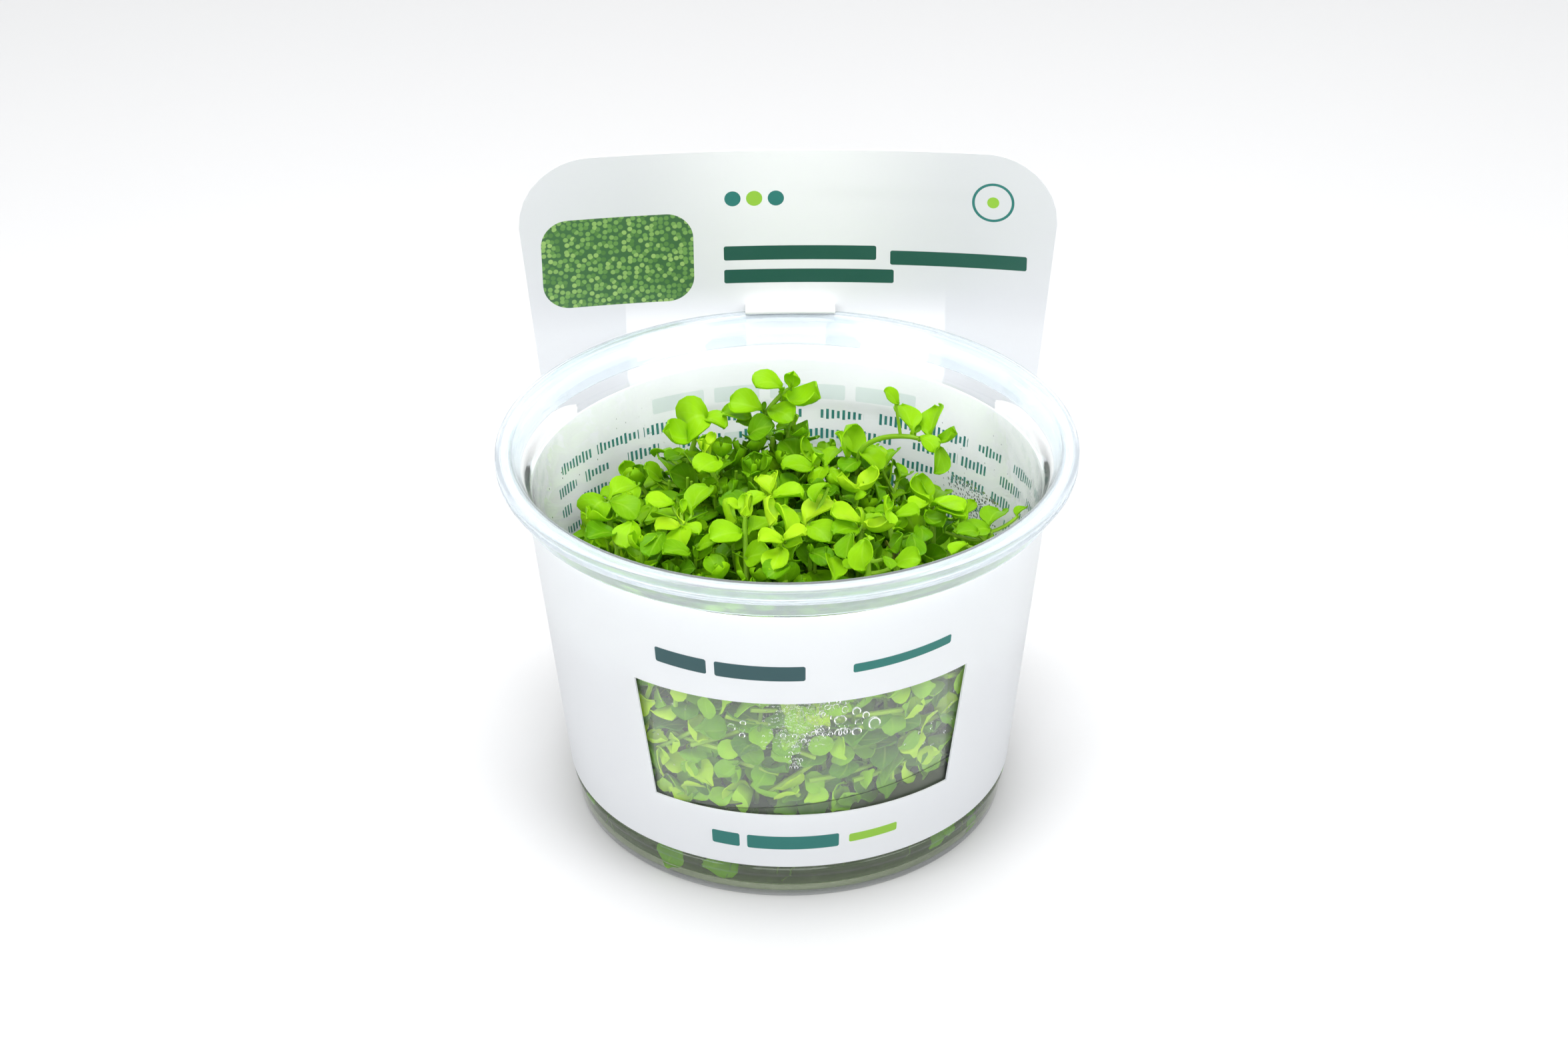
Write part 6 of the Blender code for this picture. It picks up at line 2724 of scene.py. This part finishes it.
@dataclass
class Condensation:
    """Water condensed on the cup's inner wall: drops; and a faint whitish veil behind the window, a painted
    reflection of the lamps.
    """

    cone: ConeWall
    patches: tuple[DropPatch, ...] = (
        DropPatch(-5.0, 8.0, 33.6, 43.4, 300, 0.10, 0.24),
        DropPatch(1.0, 13.5, 35.0, 43.4, 60, 0.42, 0.85),
        DropPatch(5.0, 18.5, 35.6, 43.2, 36, 0.6, 1.2),
        DropPatch(-12.5, -9.0, 35.5, 39.0, 5, 0.5, 0.9),
        DropPatch(-0.5, 3.0, 29.0, 34.0, 20, 0.16, 0.34),
        DropPatch(116.0, 135.0, 37.5, 45.5, 260, 0.16, 0.34),
        DropPatch(-44.0, -26.0, 22.0, 40.0, 16, 0.10, 0.2),
        DropPatch(30.0, 44.0, 24.0, 43.0, 26, 0.10, 0.3),
        DropPatch(60.0, 300.0, 40.0, 58.0, 160, 0.08, 0.17),
    )
    # Span of the whitish veil, a painted reflection, across the wall and up it, in millimetres
    veil_left: float = -22.9
    veil_right: float = 26.4
    veil_low: float = 18.0
    veil_high: float = 46.0

    def model_drop(self) -> Shape:
        """A half ball with a flat back, one in radius, standing on its back.

        Returns:
            The drop's shape.
        """
        deselect_all()
        bpy.ops.mesh.primitive_uv_sphere_add(segments=12, ring_count=8, radius=1.0)
        drop = bpy.context.active_object
        open_edit(drop)
        bpy.ops.mesh.select_all(action="SELECT")
        bpy.ops.mesh.bisect(plane_co=(0, 0, 0.05), plane_no=(0, 0, 1), clear_inner=True, use_fill=True)
        bpy.ops.mesh.select_all(action="SELECT")
        bpy.ops.transform.resize(value=(1.0, 1.0, 0.9), center_override=(0.0, 0.0, 0.05))
        close_edit()
        return Shape.taken_from(drop)

    def scatter(self, finish: bpy.types.Material) -> bpy.types.Object:
        """Copy the drop over every patch, none on another of its patch.

        Args:
            finish: the water.

        Returns:
            The drops as one piece.
        """
        dice = np.random.default_rng(SEED + 7)
        shape, heap = self.model_drop(), Heap()
        for patch in self.patches:
            kept: list[tuple[np.ndarray, float]] = []
            for _ in range(patch.count * 3):
                if len(kept) >= patch.count:
                    break
                size = patch.smallest + (patch.largest - patch.smallest) * dice.random() ** 1.6
                degrees = dice.normal(patch.middle_deg, patch.spread_deg)
                z = dice.uniform(patch.low, patch.high)
                foot = self.cone.on_wall(degrees, z, -0.03)
                if any(np.linalg.norm(foot - other) < 0.95 * (size + radius) for other, radius in kept):
                    continue
                kept.append((foot, size))
                inward = unit(np.array((-foot[0], -foot[1], self.cone.slope * math.hypot(foot[0], foot[1]))))
                side = unit(np.cross(np.array((0.0, 0.0, 1.0)), inward))
                up = np.cross(inward, side)
                stretch = dice.uniform(0.85, 1.25)
                x, y, height = (shape.points * size).T
                points = foot + np.outer(x, side) + np.outer(y * stretch, up) + np.outer(height, inward)
                heap.add(shape, points, 0.0)
        return seat_on(heap.piece("condensed_drops", finish))

    def lay_painted_reflection(self, finish: bpy.types.Material) -> bpy.types.Object:
        """The veil: a thin sheet laid on the wall behind the window, with upright side edges, that paints the
        lamps' reflection there.

        Args:
            finish: the haze's material.

        Returns:
            The haze.
        """
        deselect_all()
        bpy.ops.mesh.primitive_grid_add(x_subdivisions=48, y_subdivisions=6, size=1.0)
        veil = bpy.context.active_object
        for vert in veil.data.vertices:
            x = self.veil_left + (vert.co.x + 0.5) * (self.veil_right - self.veil_left)
            z = self.veil_low + (vert.co.y + 0.5) * (self.veil_high - self.veil_low)
            radius = self.cone.inner(z) - 0.06
            vert.co = Vector((x, -math.sqrt(radius * radius - x * x), z)) * MM
        thicken(veil, 0.03 * MM)
        veil.data.materials.append(finish)
        return seat_on(set_down(veil, "painted_reflection_veil"))


# Studio


@dataclass
class Studio:
    """Pale floor, soft lamps and the camera where the photograph was taken."""

    view: PhotoView = PhotoView()
    lit: Place = (0.0, 0.0, 0.04)

    def floor(self) -> None:
        """A wide round floor with a soft lip at its edge."""
        deselect_all()
        bpy.ops.mesh.primitive_circle_add(vertices=96, radius=4.0, fill_type="NGON", location=(0.0, 0.0, 0.0))
        ground = bpy.context.active_object
        open_edit(ground)
        bpy.ops.mesh.select_all(action="SELECT")
        bpy.ops.mesh.inset(thickness=0.4)
        close_edit()
        set_down(ground, "studio_floor")
        made, desk, shader = new_finish("pale floor")
        tint = desk.blend(desk.noise(desk.object_place(), 3.0, 2.0), (0.74, 0.74, 0.745), (0.76, 0.76, 0.76))
        desk.put(shader.inputs["Base Color"], tint)
        desk.put(shader.inputs["Roughness"], 0.55)
        desk.put(shader.inputs["Specular IOR Level"], 0.3)
        ground.data.materials.append(made)

    def lamp(self, name: str, place: Place, size: tuple[float, float], power: float) -> None:
        """A softbox that faces the cup's lower half.

        Args:
            name: its name.
            place: where it hangs.
            size: its width and height in metres.
            power: its power in watts.
        """
        data = bpy.data.lights.new(name, "AREA")
        data.shape = "RECTANGLE"
        data.size, data.size_y = size
        data.energy = power
        lamp = bpy.data.objects.new(name, data)
        turn = (Vector(self.lit) - Vector(place)).to_track_quat("-Z", "Y")
        lamp.matrix_world = Matrix.Translation(place) @ turn.to_matrix().to_4x4()
        bpy.context.scene.collection.objects.link(lamp)

    def lamps(self) -> None:
        """A large softbox above, a small one near the cup's mouth, one from each front side and one ahead."""
        self.lamp("softbox_above", (0.0, 0.08, 1.6), (1.35, 1.35), 15.5)
        self.lamp("softbox_near", (0.0, 0.02, 0.42), (0.26, 0.26), 0.65)
        self.lamp("softbox_front", (0.0, -0.75, 0.45), (0.5, 0.4), 1.6)
        self.lamp("softbox_left", (-0.60, -0.50, 0.55), (0.5, 0.5), 2.6)
        self.lamp("softbox_right", (0.60, -0.45, 0.55), (0.5, 0.5), 2.4)

    def air(self) -> None:
        """White surroundings, greyer behind the camera and dimmer as a light than as a backdrop."""
        world = bpy.data.worlds.new("studio air")
        world.use_nodes = True
        bpy.context.scene.world = world
        desk = NodeDesk(world.node_tree)
        _, y, z = desk.parts(desk.add("TexCoord").outputs["Generated"])
        behind = desk.stretch(y, -0.9, 0.1, 1.0, 0.0)
        low = desk.stretch(z, 0.15, 0.7, 1.0, 0.0)
        colour = desk.blend(desk.math("MULTIPLY", behind, low), (0.95, 0.96, 0.97), (0.42, 0.50, 0.56))
        diffuse = desk.add("LightPath").outputs["Is Diffuse Ray"]
        ground = world.node_tree.nodes["Background"]
        desk.put(ground.inputs["Color"], colour)
        desk.put(ground.inputs["Strength"], desk.math("SUBTRACT", 0.92, desk.math("MULTIPLY", diffuse, 0.47)))

    def camera(self) -> None:
        """The camera at the photograph's place and angle."""
        data = bpy.data.cameras.new("view")
        data.lens, data.sensor_width, data.sensor_fit = self.view.lens, self.view.sensor, "HORIZONTAL"
        data.clip_start, data.clip_end = 0.01, 50.0
        camera = bpy.data.objects.new("view", data)
        place, aim = Vector(self.view.place) * MM, Vector(self.view.aim) * MM
        turn = (aim - place).to_track_quat("-Z", "Y").to_matrix().to_4x4()
        roll = Matrix.Rotation(math.radians(self.view.roll_deg), 4, "Z")
        camera.matrix_world = Matrix.Translation(place) @ turn @ roll
        bpy.context.scene.collection.objects.link(camera)
        bpy.context.scene.camera = camera

    def build(self) -> None:
        """Set up the studio."""
        self.floor()
        self.lamps()
        self.air()
        self.camera()
        scene = bpy.context.scene
        scene.view_settings.view_transform = "Standard"
        scene.cycles.transparent_max_bounces = 24
        scene.cycles.transmission_bounces = 16
        scene.cycles.max_bounces = 18
        scene.cycles.sample_clamp_indirect = 6.0


def main() -> None:
    """Build every piece in order and report each one."""
    logging.basicConfig(level=logging.INFO, format="%(name)s: %(message)s")
    cone = ConeWall()
    gel = GelPad(cone)
    bar, strokes, uneven = make_bar_group(), make_strokes_group(), make_unevenness_group()
    milky = ClearPlastic(
        "milky moulded plastic", (0.82, 0.87, 0.91), clearness=0.84, roughness=0.13, bump=0.05
    )
    CultureCup(cone).build(ClearPlastic().material(uneven), milky.material(uneven))
    gel.build(WateryGel().material(uneven))
    PrintedSleeve(cone, PrintColours()).build(bar, strokes, uneven)
    plant = Plant(cone, gel, GrowthDome(), Greens(), LeafStock())
    plant.grow_shoots()
    plant.grow_carpet()
    plant.build_core()
    plant.set_in_gel()
    drops = Condensation(cone)
    drops.scatter(WaterDrop().material())
    # the whitish veil behind the window is a painted reflection of the lamps
    drops.lay_painted_reflection(PaintedReflectionVeil().material())
    Studio().build()


if __name__ == "__main__":
    main()
